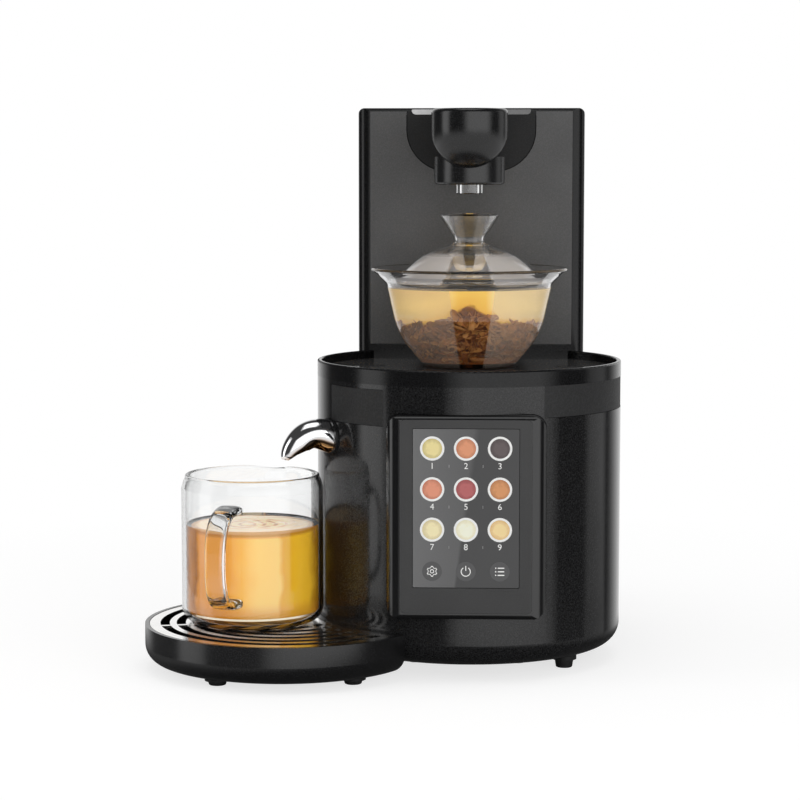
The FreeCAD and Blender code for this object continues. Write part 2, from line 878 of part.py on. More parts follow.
def make_power_inlet():
    """The three-pole mains inlet in the back of the tank pedestal."""
    half_x = inlet_width / 2
    z_mid = inlet_middle()
    half_z = inlet_height / 2
    body = block(inlet_x - half_x, inlet_x + half_x, tank_back - inlet_depth, tank_back,
                 z_mid - half_z, z_mid + half_z)
    flange = rounded_plate(half_x + inlet_flange, tank_back, tank_back + inlet_flange_thickness,
                           z_mid - half_z - inlet_flange, z_mid + half_z + inlet_flange, 2.0, inlet_x)
    well = rounded_plate(half_x - inlet_shroud, tank_back - inlet_depth + inlet_shroud, tank_back + 5,
                         z_mid - half_z + inlet_shroud, z_mid + half_z - inlet_shroud, 3.0, inlet_x)
    inlet = join([body, flange]).cut(well)
    pins = []
    for step, rise in ((-1, -2.0), (0, 2.0), (1, -2.0)):
        x = inlet_x + step * inlet_pin_pitch
        back = tank_back - inlet_depth + inlet_shroud - 0.5
        pins.append(block(x - inlet_pin_width / 2, x + inlet_pin_width / 2, back, back + inlet_pin_length,
                          z_mid + rise - 2.0, z_mid + rise + 2.0))
    return join([inlet] + pins)


# ---------------------------------------------------------------- tower
def back_screw_places():
    inset = tower_wall + screw_head_radius + back_screw_margin
    x = tower_half_width - inset
    low = drum_underside + inset
    high = tower_top - inset
    return [(-x, low), (x, low), (-x, high), (x, high)]


def make_tower_shell():
    """The column's black shell, open at the back, with a pocket for the front panel."""
    shell = rounded_block(tower_half_width, tower_front, tower_back, drum_underside, tower_top,
                          tower_edge_round, tower_end_round, tower_corner)
    inner = block(-tower_half_width + tower_wall, tower_half_width - tower_wall,
                  tower_front + panel_thickness + tower_wall, tower_back + 1,
                  drum_underside + tower_wall, tower_top - tower_wall)
    shell = shell.cut(inner)
    shell = shell.cut(block(-panel_half_width - slip, panel_half_width + slip, tower_front - 1,
                            tower_front + panel_thickness, panel_bottom, tower_top - panel_top_margin + slip))
    shell = shell.cut(block(-tower_window_half, tower_window_half, tower_front - 1, tower_back,
                            tower_window_bottom, tower_window_top))
    shell = shell.cut(trim_pocket())
    shell = shell.cut(snout_profile_prism(head_wall, tower_front - 1, tower_back))
    bosses = []
    for x, z in back_screw_places():
        bosses.append(rod(boss_radius, V(x, tower_front + panel_thickness + 1, z),
                          V(x, tower_back - back_thickness, z)))
    shell = join([shell] + bosses)
    for x, z in back_screw_places():
        shell = shell.cut(rod(screw_radius + running, V(x, tower_back - back_screw_length - 1, z),
                              V(x, tower_back, z)))
    return shell


def make_tower_back():
    """The plate that closes the column in front of the tank."""
    plate = block(-tower_half_width + tower_wall + slip, tower_half_width - tower_wall - slip,
                  tower_back - back_thickness, tower_back,
                  drum_underside + tower_wall + slip, tower_top - tower_wall - slip)
    plate = plate.cut(rod(hose_radius + 2.0, V(socket_x, tower_back - 10, feed_level()),
                          V(socket_x, tower_back + 10, feed_level())))
    for x, z in back_screw_places():
        plate = plate.cut(rod(screw_radius + running, V(x, tower_back - 10, z), V(x, tower_back + 1, z)))
        plate = plate.cut(rod(screw_head_radius + running, V(x, tower_back - screw_head_height, z),
                              V(x, tower_back + 1, z)))
    return plate


def make_back_screws():
    screws = []
    for x, z in back_screw_places():
        screws.append(screw(V(x, tower_back - screw_head_height, z), V(0, -1, 0), back_screw_length - 1))
    return Part.makeCompound(screws)


def flange_form(grow, y0, y1):
    """The flange's U shape, or a grown one as its cut-out: straight sides and well rounded lower corners."""
    return rounded_plate(flange_half_width + grow, y0, y1, flange_bottom - grow,
                         tower_top + flange_corner + grow, flange_corner + grow)


def make_tower_panel():
    """The satin grey front panel, with a U-shaped cut-out for the head's flange."""
    panel = block(-panel_half_width, panel_half_width, tower_front, tower_front + panel_thickness,
                  panel_bottom + slip, tower_top - panel_top_margin)
    return panel.cut(flange_form(flange_gap, tower_front - 1, tower_back))


def make_tower_ledge():
    """The dark step along the foot of the tower, on the deck and the ring."""
    bar = block(-ledge_half_width, ledge_half_width, tower_front - ledge_reach, tower_front,
                drum_top, panel_bottom)
    ends = [e for e in bar.Edges if abs(e.BoundBox.ZMin - panel_bottom) < 0.01
            and e.BoundBox.XLength < 0.01]
    bar = bar.makeChamfer(ledge_chamfer, ends)
    foot = block(-ledge_foot_half_width, ledge_foot_half_width, tower_front - ledge_reach, tower_front,
                 deck_top, drum_top + ledge_foot_rise)
    return join([bar, foot]).cut(washer(drum_radius + slip, drum_radius - drum_wall - slip, 0, drum_top))


# ---------------------------------------------------------------- brewing head
def snout_outline(inset):
    """The head's U-shaped section, seen from the front: flat top, straight sides, half-round bottom."""
    half = head_radius - inset
    top = head_top - inset
    corner = max(head_top_round - inset, 0.4)
    side = [(-half, head_centre, 0.0), (-half, top, corner), (half, top, corner), (half, head_centre, 0.0)]
    edges = path_edges(side, upright)
    bottom = Part.Arc(V(-half, 0, head_centre), V(0, 0, head_centre - half), V(half, 0, head_centre))
    edges.append(bottom.toShape())
    return face_of(edges)


def snout_profile_prism(inset, y0, y1):
    section = snout_outline(inset)
    section.translate(V(0, y0, 0))
    return section.extrude(V(0, y1 - y0, 0))


def snout_solid(inset, y_end):
    """The head's bar and its nose: upright and round in plan, half-round underneath as the bar is."""
    half = head_radius - inset
    low = head_centre - half
    top = head_top - inset
    corner = max(head_top_round - inset, 0.4)
    profile = [(0.0, low, 0.0), (half, low, 0.0), (half, top, corner), (0.0, top, 0.0)]
    nose = lathe_solid(profile).common(snout_profile_prism(inset, -half, 0.0))
    snout = snout_profile_prism(inset, 0, y_end).fuse(nose).removeSplitter()
    return round_edges(snout, max(head_nose_round - inset, 0.4),
                       lambda e: e.BoundBox.ZMax < head_centre + 0.1 and e.BoundBox.YMin < -half / 2
                       and e.BoundBox.ZLength > half / 2)


def make_brew_head():
    """The black snout, hollow and open to the tower, with a hole for the nozzle."""
    head = snout_solid(0.0, tower_front)
    head = head.cut(snout_solid(head_wall, tower_front + 1))
    return head.cut(disc(nozzle_radius + running, head_bottom - 5, head_centre))


def make_head_flange():
    """The U-shaped flange that holds the head in the tower's front."""
    plate = flange_form(0.0, tower_front, tower_front + panel_thickness)
    plate = plate.common(block(-flange_half_width, flange_half_width, 0, 2 * tower_back,
                               0, tower_top - panel_top_margin))
    plate = plate.cut(trim_pocket())
    return plate.cut(snout_profile_prism(head_wall, 0, tower_back))


def trim_space(grow, y0, y1):
    """The bright band's outline, or a grown one as its pocket, between two planes."""
    half = trim_half_width + grow
    top = tower_top - trim_top_margin + grow
    bottom = tower_top - trim_top_margin - trim_height - grow
    outline = [(half, bottom, trim_low_round + grow), (-half, bottom, trim_low_round + grow),
               (-half, top, trim_high_round + grow), (half, top, trim_high_round + grow)]
    return closed_prism(outline, lambda a, b: V(a, y0, b), V(0, y1 - y0, 0))


def trim_pocket():
    return trim_space(slip, tower_front - 1, tower_front + panel_thickness)


def make_head_trim():
    """The bright band behind the top of the head, let into the flange and the tower's top edge."""
    return trim_space(0.0, tower_front, tower_front + trim_thickness)


def make_head_collar():
    """The black cup under the head that carries the nozzle."""
    top = collar_bottom + collar_height
    cup = disc(collar_radius, collar_bottom, top)
    cup = round_edges(cup, collar_round, lambda e: e.BoundBox.ZMax < collar_bottom + 0.01)
    cup = cup.cut(snout_solid(-running, tower_front))
    return cup.cut(disc(nozzle_radius + running, collar_bottom - 1, top))


def nozzle_shoulder():
    """The height where the tube narrows to its nipple, inside the head."""
    return head_bottom + head_wall + nozzle_stand


def make_nozzle():
    """The clear outlet tube, with a nipple for the hose on top."""
    bottom = collar_bottom - nozzle_drop
    shoulder = nozzle_shoulder()
    tube = disc(nozzle_radius, bottom, shoulder)
    tube = tube.makeChamfer(nozzle_wall_chamfer, [e for e in tube.Edges if e.BoundBox.ZMax < bottom + 0.01])
    tube = tube.fuse(disc(nipple_radius, shoulder - 1, shoulder + nozzle_nipple_length))
    tube = tube.cut(disc(nozzle_bore, bottom - 1, shoulder - nozzle_roof))
    return tube.cut(disc(nipple_bore, bottom, shoulder + nozzle_nipple_length + 1))


# ---------------------------------------------------------------- water tank
def make_tank_base():
    """The pedestal behind the tower, with a well for the socket and a hole for the inlet."""
    body = block(-tower_half_width, tower_half_width, tower_back, tank_back, drum_underside, pedestal_top)
    body = round_edges(body, tank_back_round,
                       lambda e: e.BoundBox.ZLength > 5 and e.BoundBox.YMin > tank_back - 1)
    inner = block(-tower_half_width + tower_wall, tower_half_width - tower_wall, tower_back - 1,
                  tank_back - tower_wall, drum_underside + tower_wall, pedestal_top - tower_wall)
    body = body.cut(inner)
    body = body.cut(disc(socket_radius + running, drum_underside + tower_wall + 1, pedestal_top + 1,
                         socket_x, tank_middle()))
    z_mid = inlet_middle()
    return body.cut(block(inlet_x - inlet_width / 2 - running, inlet_x + inlet_width / 2 + running,
                          tank_back - inlet_depth, tank_back + 1, z_mid - inlet_height / 2 - running,
                          z_mid + inlet_height / 2 + running))


def tank_middle():
    return (tank_front + tank_back) / 2


def feed_level():
    return drum_underside + tower_wall + hose_radius + 3.0


def make_tank_socket():
    """The socket that the tank's valve drops into, with the pin that opens the valve."""
    y = tank_middle()
    bottom = pedestal_top - socket_height
    body = disc(socket_radius, bottom, pedestal_top, socket_x, y)
    body = body.cut(disc(socket_radius - 2.0, bottom + 2.0, pedestal_top + 1, socket_x, y))
    pin = disc(socket_pin_radius, bottom + 1, valve_stem_foot() - apart, socket_x, y)
    nipple = disc(nipple_radius, bottom - nipple_length + 4.0, bottom + 1, socket_x, y)
    body = join([body, nipple])
    body = body.cut(disc(nipple_bore, bottom - nipple_length, bottom + 3, socket_x, y))
    bridge = block(socket_x - socket_radius + 1.0, socket_x + socket_radius - 1.0, y - 1.0, y + 1.0,
                   bottom + 1.0, bottom + 3.0)
    return join([body, bridge, pin])


def valve_stem_foot():
    return tank_bottom + tank_wall - valve_stem_length


def make_tank():
    """The removable water tank: open at the top, with a valve hole in its floor and hinge knuckles behind."""
    half = tower_half_width
    body = block(-half, half, tank_front, tank_back, tank_bottom, tank_top)
    body = round_edges(body, tank_back_round,
                       lambda e: e.BoundBox.ZLength > 50 and e.BoundBox.YMin > tank_back - 1)
    body = round_edges(body, tank_corner_round,
                       lambda e: e.BoundBox.ZLength > 50 and e.BoundBox.YMax < tank_front + 0.1)
    inner = block(-half + tank_wall, half - tank_wall, tank_front + tank_wall, tank_back - tank_wall,
                  tank_bottom + tank_wall, tank_top + 1)
    inner = round_edges(inner, tank_back_round - tank_wall,
                        lambda e: e.BoundBox.ZLength > 50 and e.BoundBox.YMin > tank_back - tank_wall - 0.1)
    body = body.cut(inner)
    body = body.cut(disc(valve_hole_radius, tank_bottom - 1, tank_bottom + tank_wall + 1, socket_x,
                         tank_middle()))
    for side in (-1, 1):
        inner_x = side * hinge_inner_half
        outer_x = side * hinge_outer_half
        low, high = min(inner_x, outer_x), max(inner_x, outer_x)
        knuckle = rod(hinge_radius, V(low, hinge_y, hinge_z), V(high, hinge_y, hinge_z))
        root = block(low, high, hinge_y - hinge_radius, tank_back - slip, tank_top - 2.0, hinge_z)
        body = join([body, knuckle, root])
    body = body.cut(rod(hinge_pin_radius + running, V(-half, hinge_y, hinge_z), V(half, hinge_y, hinge_z)))
    for side in (-1, 1):
        body = body.cut(grip_block(side, slip))
    return body


def grip_block(side, grow):
    """The place of one finger grip in the tank's side wall."""
    outer = side * (tower_half_width + grip_reach)
    inner = side * (tower_half_width - grip_inset - grow)
    y = tank_middle()
    return block(min(outer, inner), max(outer, inner), y - grip_length / 2 - grow, y + grip_length / 2 + grow,
                 grip_bottom - grow, grip_bottom + grip_height + grow)


def make_grip(side):
    grip = grip_block(side, 0.0)
    face_x = side * (tower_half_width + grip_reach)
    return round_edges(grip, grip_reach,
                       lambda e: abs(e.BoundBox.XMin - face_x) < 0.01 and abs(e.BoundBox.XMax - face_x) < 0.01)


def make_tank_lid():
    """The tank's lid: a plate with a skirt inside the tank and one knuckle on the hinge pin."""
    half = tower_half_width - slip
    y0 = tank_front + tank_lid_front_gap
    y1 = tank_back - tank_lid_rear_gap
    top = lid_plate_bottom + tank_lid_thickness
    plate = block(-half, half, y0, y1, lid_plate_bottom, top)
    plate = round_edges(plate, 1.2, lambda e: e.BoundBox.ZMin > top - 0.01)
    skirt_half = half - tank_wall - 1.0
    skirt_y0 = tank_front + tank_wall + 1.0
    skirt_y1 = y1 - 1.5
    skirt = block(-skirt_half, skirt_half, skirt_y0, skirt_y1, lid_plate_bottom - tank_lid_skirt,
                  lid_plate_bottom + 0.5)
    hollow = block(-skirt_half + tank_lid_skirt_wall, skirt_half - tank_lid_skirt_wall,
                   skirt_y0 + tank_lid_skirt_wall, skirt_y1 - tank_lid_skirt_wall,
                   lid_plate_bottom - tank_lid_skirt - 1, lid_plate_bottom)
    knuckle_half = hinge_inner_half - apart
    knuckle = rod(hinge_radius, V(-knuckle_half, hinge_y, hinge_z), V(knuckle_half, hinge_y, hinge_z))
    tongue = block(-knuckle_half, knuckle_half, y1 - 2.0, hinge_y, hinge_z, hinge_z + hinge_radius)
    lid = join([plate, skirt.cut(hollow), knuckle, tongue])
    return lid.cut(rod(hinge_pin_radius + running, V(-half, hinge_y, hinge_z), V(half, hinge_y, hinge_z)))


def make_tank_hinge_pin():
    return rod(hinge_pin_radius, V(-hinge_outer_half, hinge_y, hinge_z), V(hinge_outer_half, hinge_y, hinge_z))


def make_tank_valve():
    """The valve in the tank's floor: a head inside, a stem through the hole and a skirt below it."""
    y = tank_middle()
    floor = tank_bottom + tank_wall
    head = disc(valve_head_radius, floor + apart, floor + apart + valve_head_thickness, socket_x, y)
    stem = disc(valve_stem_radius, valve_stem_foot(), floor + apart + 0.5, socket_x, y)
    return join([head, stem])


# ---------------------------------------------------------------- gaiwan
def make_gaiwan_bowl():
    """The glass bowl: thick floor with a drain hole, rounded belly and a flared lip."""
    z = bowl_base
    path = [(0.0, z, 0.0), (bowl_foot_radius, z, bowl_foot_round),
            (bowl_belly_radius, z + bowl_belly_height, bowl_belly_round),
            (bowl_throat_radius, z + bowl_throat_height, bowl_throat_round),
            (bowl_flare_radius, z + bowl_flare_height, bowl_flare_round),
            (bowl_lip_radius, z + bowl_height, 0.0)]
    whole = lathe_solid(path + [(0.0, z + bowl_height, 0.0)])
    floor = whole.common(disc(bowl_belly_radius, z, z + bowl_floor))
    bowl = join([lathe_shell(path, bowl_wall), floor])
    bowl = round_edges(bowl, bowl_wall / 3, lambda e: e.BoundBox.ZMin > z + bowl_height - bowl_wall)
    return bowl.cut(disc(bowl_drain_radius, z - 1, z + bowl_floor + 1))


def ball_centre_height():
    contact = math.sqrt(ball_radius ** 2 - bowl_drain_radius ** 2)
    return bowl_base + bowl_floor + contact + apart / 2


def make_valve_ball():
    return Part.makeSphere(ball_radius, V(0, 0, ball_centre_height()))


def make_gaiwan_lid():
    """The glass lid: dome, skirt, and a hollow knob that is a funnel above and a bulb below."""
    z = bowl_base
    tube = [(bulb_outlet_radius, z + bulb_outlet_height, 0.0),
            (bulb_foot_radius, z + bulb_foot_height, bulb_foot_round),
            (bulb_radius, z + bulb_height, bulb_round),
            (knob_neck_radius, z + knob_neck_height, knob_neck_round),
            (knob_top_radius, z + knob_top_height, 0.0)]
    knob = lathe_shell(tube, lid_wall)
    neck_join = knob_neck_radius - lid_wall / 2
    dome = [(lid_skirt_radius, z + lid_skirt_bottom, 0.0),
            (lid_skirt_radius, z + lid_skirt_top, lid_skirt_round),
            (lid_shoulder_radius, z + lid_shoulder_height, lid_shoulder_round),
            (lid_crown_radius, z + lid_crown_height, lid_crown_round),
            (neck_join, z + knob_neck_height - lid_neck_drop, 0.0)]
    cover = lathe_shell(dome, lid_wall)
    return join([knob, cover.cut(disc(neck_join + 0.2, z, z + knob_top_height))])


# ---------------------------------------------------------------- drain
def chute_point(reach, rise):
    """A point in the chute's upright plane: reach out of the drum's wall, rise above its hole."""
    return outward(chute_azimuth) * (drum_radius + reach) + V(0, 0, chute_height + rise)


chute_root_radius = 8.8
# Sections of the chute: reach out of the wall, rise above the hole, radius and slope in degrees.
chute_sections = (
    (-5.0, -1.0, chute_root_radius, 12.0),
    (1.0, 0.5, 8.7, 14.0),
    (7.5, 2.4, 8.3, 5.0),
    (13.9, 1.3, 7.7, -20.0),
    (19.3, -2.7, 6.9, -43.0),
    (23.1, -7.4, 5.3, -66.0),
    (24.8, -11.4, 3.5, -78.0),
)
# The edge of the mouth and the space below it, as reach and rise.
chute_mouth = ((12.5, -5.7), (16.0, -6.3), (21.2, -8.2), (25.3, -10.9), (30.0, -14.0), (30.0, -30.0),
               (12.5, -30.0))


def chute_loft(shrink):
    rings = []
    out = outward(chute_azimuth)
    across = V(-out.y, out.x, 0)
    for reach, rise, radius, slope in chute_sections:
        turn = math.radians(slope)
        normal = out * math.cos(turn) + V(0, 0, math.sin(turn))
        ring = Part.makeCircle(max(radius - shrink, chute_wall / 2))
        ring.Placement = FreeCAD.Placement(chute_point(reach, rise),
                                           FreeCAD.Rotation(across, normal.cross(across), normal, "ZXY"))
        rings.append(Part.Wire(ring))
    return Part.makeLoft(rings, True, False)


def make_chute():
    """The chrome spout: a horn that arches out of the wall and turns down, open underneath its tip."""
    horn = chute_loft(0.0)
    out = outward(chute_azimuth)
    across = V(-out.y, out.x, 0)
    bore = chute_loft(chute_wall)
    first = chute_point(chute_sections[0][0], chute_sections[0][1])
    slope = math.radians(chute_sections[0][3])
    before = first - (out * math.cos(slope) + V(0, 0, math.sin(slope)))
    bore = bore.fuse(rod(chute_root_radius - chute_wall, before, first))
    horn = horn.cut(bore)
    side = across * (2 * chute_root_radius)
    corners = [chute_point(*place) - side for place in chute_mouth + chute_mouth[:1]]
    return horn.cut(Part.Face(Part.makePolygon(corners)).extrude(side * 2))


def make_chute_collar():
    """The black washer round the chute, lying on the drum's wall."""
    ring = chute_hole(chute_root_radius + collar_ring_width)
    ring = ring.common(disc(drum_radius + collar_ring_reach, 0, drum_top)).cut(disc(drum_radius, 0, drum_top))
    return ring.cut(chute_loft(-running))


def make_drain_funnel():
    """The catch cup under the deck, with a dry thimble for the magnet and a pipe to the chute."""
    floor = funnel_floor
    path = [(0.0, deck_bottom - thimble_drop - funnel_wall, 0.0),
            (thimble_radius, deck_bottom - thimble_drop - funnel_wall, 1.0),
            (thimble_radius, floor, 2.0), (funnel_radius, floor, 3.0), (funnel_radius, deck_bottom, 0.0)]
    cup = lathe_shell(path, funnel_wall)
    rim = washer(funnel_radius + funnel_rim_width, funnel_radius - funnel_wall, deck_bottom - funnel_wall,
                 deck_bottom)
    out = outward(chute_azimuth)
    start = out * (funnel_radius - funnel_pipe_inset) + V(0, 0, floor + funnel_pipe_radius + funnel_pipe_rise)
    level = V(0, 0, chute_height - funnel_pipe_drop)
    turn = out * (funnel_radius + funnel_pipe_run) + level
    end = out * (drum_radius - funnel_pipe_end) + level
    pipe = bent_rod([start, turn, end], funnel_pipe_radius, funnel_pipe_bend)
    bore = bent_rod([start, turn, end + out], funnel_pipe_radius - funnel_pipe_wall, funnel_pipe_bend)
    inside = washer(funnel_radius - funnel_wall, thimble_radius + funnel_wall, floor + funnel_wall,
                    deck_bottom + 1)
    return join([cup, rim, pipe.cut(inside)]).cut(bore)


def make_solenoid():
    """The coil that drives the lifting magnet, hung under the funnel."""
    top = funnel_floor
    body = block(-solenoid_length / 2, solenoid_length / 2, -solenoid_width / 2, solenoid_width / 2,
                 top - solenoid_height, top)
    return body.cut(disc(magnet_radius + apart, top - solenoid_height + 3.0, top + 1))


def magnet_top():
    return deck_bottom - thimble_drop - funnel_wall - magnet_travel - apart


def make_lift_magnet():
    return disc(magnet_radius, magnet_top() - magnet_length, magnet_top())


# ---------------------------------------------------------------- drip tray
def tray_centre():
    return radial(tray_distance, tray_azimuth)


def drum_bite(margin):
    """The drum's outline grown by a margin, which the tray's pieces stay clear of."""
    return disc(drum_radius + margin, -1, drum_top)


def make_tray_body():
    """The tray: a round pan cut to fit the drum, with a wall along the cut and a ledge for the grille."""
    x, y = tray_centre()
    outer = disc(tray_radius, tray_underside, tray_top, x, y).cut(drum_bite(tray_gap))
    outer = round_edges(outer, tray_edge_round, lambda e: e.BoundBox.ZMax < tray_underside + 0.01
                        and e.BoundBox.YMin < -drum_radius * 0.95)
    inner = disc(tray_radius - tray_wall - grille_ledge, tray_underside + tray_wall + 1.0, tray_top + 1, x, y)
    inner = inner.cut(drum_bite(tray_gap + tray_wall + grille_ledge))
    seat = disc(tray_radius - tray_wall, grille_top - grille_thickness, tray_top + 1, x, y)
    seat = seat.cut(drum_bite(tray_gap + tray_cut_wall))
    return outer.cut(inner).cut(seat)


def make_tray_grille():
    """The steel plate with rings of slots, crossed by spokes."""
    x, y = tray_centre()
    z0 = grille_top - grille_thickness
    radius = tray_radius - tray_wall - grille_rim_gap
    plate = disc(radius, z0 + apart / 2, grille_top, x, y)
    plate = plate.cut(drum_bite(tray_gap + tray_cut_wall + grille_rim_gap))
    slots = []
    for ring in range(grille_rings):
        outer = radius - grille_rim - ring * grille_pitch
        slots.append(washer(outer, outer - grille_slot, z0 - 1, tray_top, x, y))
    pattern = slots[0].multiFuse(slots[1:])
    for angle in grille_spoke_angles:
        spoke = block(0, tray_radius, -grille_spoke / 2, grille_spoke / 2, z0 - 2, tray_top + 1)
        spoke.rotate(V(0, 0, 0), V(0, 0, 1), angle)
        spoke.translate(V(x, y, 0))
        pattern = pattern.cut(spoke)
    pattern = pattern.cut(drum_bite(tray_gap + tray_cut_wall + grille_drum_margin))
    return plate.cut(pattern)


# ---------------------------------------------------------------- pitcher
def make_pitcher():
    """The open glass pitcher with a pouring lip and a ribbon handle opposite to it."""
    x, y = radial(pitcher_distance, pitcher_azimuth)
    z = pitcher_base
    rim = z + pitcher_height
    path = [(0.0, z, 0.0), (pitcher_radius, z, pitcher_foot_round),
            (pitcher_radius, rim - pitcher_shoulder, pitcher_shoulder_round), (pitcher_rim_radius, rim, 0.0)]
    outer = lathe_solid(path + [(0.0, rim, 0.0)])
    inner_path = offset_path(path, pitcher_wall)
    inner = lathe_solid(inner_path + [(inner_path[-1][0], rim + 1.0, 0.0), (0.0, rim + 1.0, 0.0)])
    out = outward(handle_turn)
    lip_out = -out
    lip_axis = lip_out * (pitcher_rim_radius - lip_radius + lip_reach)
    lip_low = lip_axis + V(0, 0, rim - lip_depth)
    lip = Part.makeCone(lip_point, lip_radius, lip_depth, lip_low, V(0, 0, 1))
    lip_bore = Part.makeCone(lip_point, lip_radius, lip_depth, lip_low + V(0, 0, lip_wall), V(0, 0, 1))
    body = join([outer, lip]).cut(inner).cut(lip_bore)
    notch = rod(lip_radius * 1.4, V(0, 0, rim + lip_radius * 1.4 - lip_notch),
                lip_out * (pitcher_radius * 2) + V(0, 0, rim + lip_radius * 1.4 - lip_notch))
    notch = notch.common(block(-500, 500, -500, 500, 0, rim + 5)).cut(disc(pitcher_rim_radius * 0.6, 0, 500))
    body = body.cut(notch)
    body = join([body, pitcher_handle(out, z)])
    body.translate(V(x, y, 0))
    return body


def pitcher_handle(out, z):
    """A flat ribbon bent into a C, standing on the pitcher's side."""
    reach = pitcher_radius + handle_reach
    root = pitcher_radius - pitcher_wall / 2
    path = [(root, z + handle_bottom, 0.0), (reach, z + handle_bottom, handle_round),
            (reach, z + handle_top, handle_round), (root, z + handle_top, 0.0)]
    inner = offset_path(path, handle_thickness)
    across = V(-out.y, out.x, 0)

    def in_plane(a, b):
        return out * a + V(0, 0, b) - across * (handle_width / 2)

    edges = path_edges(path, in_plane) + path_edges(inner, in_plane)
    edges.append(Part.makeLine(in_plane(*path[0][:2]), in_plane(*inner[0][:2])))
    edges.append(Part.makeLine(in_plane(*path[-1][:2]), in_plane(*inner[-1][:2])))
    ribbon = face_of(edges).extrude(across * handle_width)
    return ribbon.makeFillet(handle_edge_round, [e for e in ribbon.Edges if e.Length > handle_width + 0.1])


# ---------------------------------------------------------------- feet
def foot(x, y, top, ring_height):
    """A rubber foot: a tapered pad under a wider ring."""
    pad = Part.makeCone(foot_radius * 0.86, foot_radius, top - ring_height, V(x, y, 0))
    pad = round_edges(pad, foot_round, lambda e: e.BoundBox.ZMax < 0.01)
    ring = disc(foot_ring_radius, top - ring_height, top, x, y)
    return join([pad, ring])


def foot_places():
    places = {}
    rear_y = tank_back - rear_foot_back
    for side, sign in (("left", -1), ("right", 1)):
        places["base_foot_front_" + side] = (sign * drum_foot_x, drum_foot_y, drum_underside, foot_ring_height)
        places["base_foot_rear_" + side] = (sign * rear_foot_x, rear_y, drum_underside, foot_ring_height)
    centre_x, centre_y = tray_centre()
    for number, angle in enumerate(tray_foot_angles, 1):
        turn = math.radians(angle)
        places["tray_foot_%d" % number] = (centre_x + tray_foot_circle * math.cos(turn),
                                           centre_y + tray_foot_circle * math.sin(turn),
                                           tray_underside, tray_foot_ring_height)
    return places


# ---------------------------------------------------------------- pump, heater and hoses
def pump_back():
    return pump_y + pump_length / 2


def make_pump_housing():
    """The pump: a round chamber with an inlet facing the tank, an outlet to the side and its motor."""
    front = pump_y - pump_length / 2
    chamber = rod(pump_radius, V(pump_x, front, pump_z), V(pump_x, pump_back(), pump_z))
    motor = rod(motor_radius, V(pump_x, front - motor_length, pump_z), V(pump_x, front + 0.5, pump_z))
    inlet = rod(nipple_radius, V(pump_x, pump_back() - 0.5, pump_z),
                V(pump_x, pump_back() + nipple_length, pump_z))
    outlet_z = pump_z + pump_outlet_rise
    outlet = rod(nipple_radius, V(pump_x, pump_y, outlet_z),
                 V(pump_x - pump_radius - nipple_length, pump_y, outlet_z))
    body = join([chamber, motor, inlet, outlet])
    body = body.cut(rod(pump_radius - pump_wall, V(pump_x, front + pump_wall, pump_z),
                        V(pump_x, pump_back() - pump_wall, pump_z)))
    body = body.cut(rod(nipple_bore, V(pump_x, pump_back() - 3, pump_z),
                        V(pump_x, pump_back() + nipple_length + 1, pump_z)))
    body = body.cut(rod(nipple_bore, V(pump_x - pump_radius / 2, pump_y, outlet_z),
                        V(pump_x - pump_radius - nipple_length - 1, pump_y, outlet_z)))
    bearing = rod(rotor_shaft_radius + running, V(pump_x, front - rotor_shaft_depth - 1, pump_z),
                  V(pump_x, front + pump_wall + 1, pump_z))
    return body.cut(bearing)


def make_pump_rotor():
    """The impeller and the end of the motor's shaft."""
    front = pump_y - pump_length / 2 + pump_wall
    back = pump_back() - pump_wall
    hub = rod(rotor_hub_radius, V(pump_x, front + rotor_gap, pump_z), V(pump_x, back - rotor_gap, pump_z))
    shaft = rod(rotor_shaft_radius, V(pump_x, front - pump_wall - rotor_shaft_depth, pump_z),
                V(pump_x, back - rotor_gap - 1, pump_z))
    reach = pump_radius - pump_wall - rotor_gap
    parts = [hub, shaft]
    for blade in range(rotor_blades):
        vane = block(pump_x, pump_x + reach, front + rotor_gap, back - rotor_gap,
                     pump_z - rotor_blade_thickness / 2, pump_z + rotor_blade_thickness / 2)
        vane.rotate(V(pump_x, 0, pump_z), V(0, 1, 0), blade * 360.0 / rotor_blades)
        parts.append(vane)
    return join(parts)


def heater_top():
    return base_top + heater_height


def make_heater():
    """The flow heater: an upright steel tube with end caps, a side inlet and a top outlet."""
    x, y = heater_x, pump_y
    level = pump_z + pump_outlet_rise
    body = disc(heater_radius, base_top, heater_top(), x, y)
    low_cap = disc(heater_radius + heater_cap_reach, base_top, base_top + heater_cap, x, y)
    high_cap = disc(heater_radius + heater_cap_reach, heater_top() - heater_cap, heater_top(), x, y)
    inlet = rod(nipple_radius, V(x, y, level), V(x + heater_radius + nipple_length, y, level))
    outlet = disc(nipple_radius, heater_top() - 1, heater_top() + nipple_length, x, y)
    body = join([body, low_cap, high_cap, inlet, outlet])
    body = body.cut(disc(heater_radius - heater_wall, base_top + heater_cap, heater_top() - heater_cap, x, y))
    body = body.cut(rod(nipple_bore, V(x, y, level), V(x + heater_radius + nipple_length + 1, y, level)))
    return body.cut(disc(nipple_bore, heater_top() - heater_cap - 1, heater_top() + nipple_length + 1, x, y))


def make_feed_hose():
    """From the tank socket through the back of the tower to the pump."""
    level = feed_level()
    y = tank_middle()
    points = [V(socket_x, y, pedestal_top - socket_height), V(socket_x, y, level),
              V(socket_x, tower_front + 12, level), V(socket_x, tower_front, pump_z),
              V(socket_x, pump_back(), pump_z)]
    return hose(points, nipple_radius + running)


def make_pump_hose():
    """From the pump to the foot of the heater."""
    level = pump_z + pump_outlet_rise
    points = [V(pump_x - pump_radius, pump_y, level), V(heater_x + heater_radius, pump_y, level)]
    return rod(hose_radius, points[0], points[1]).cut(rod(nipple_radius + running, points[0] + V(1, 0, 0),
                                                          points[1] - V(1, 0, 0)))


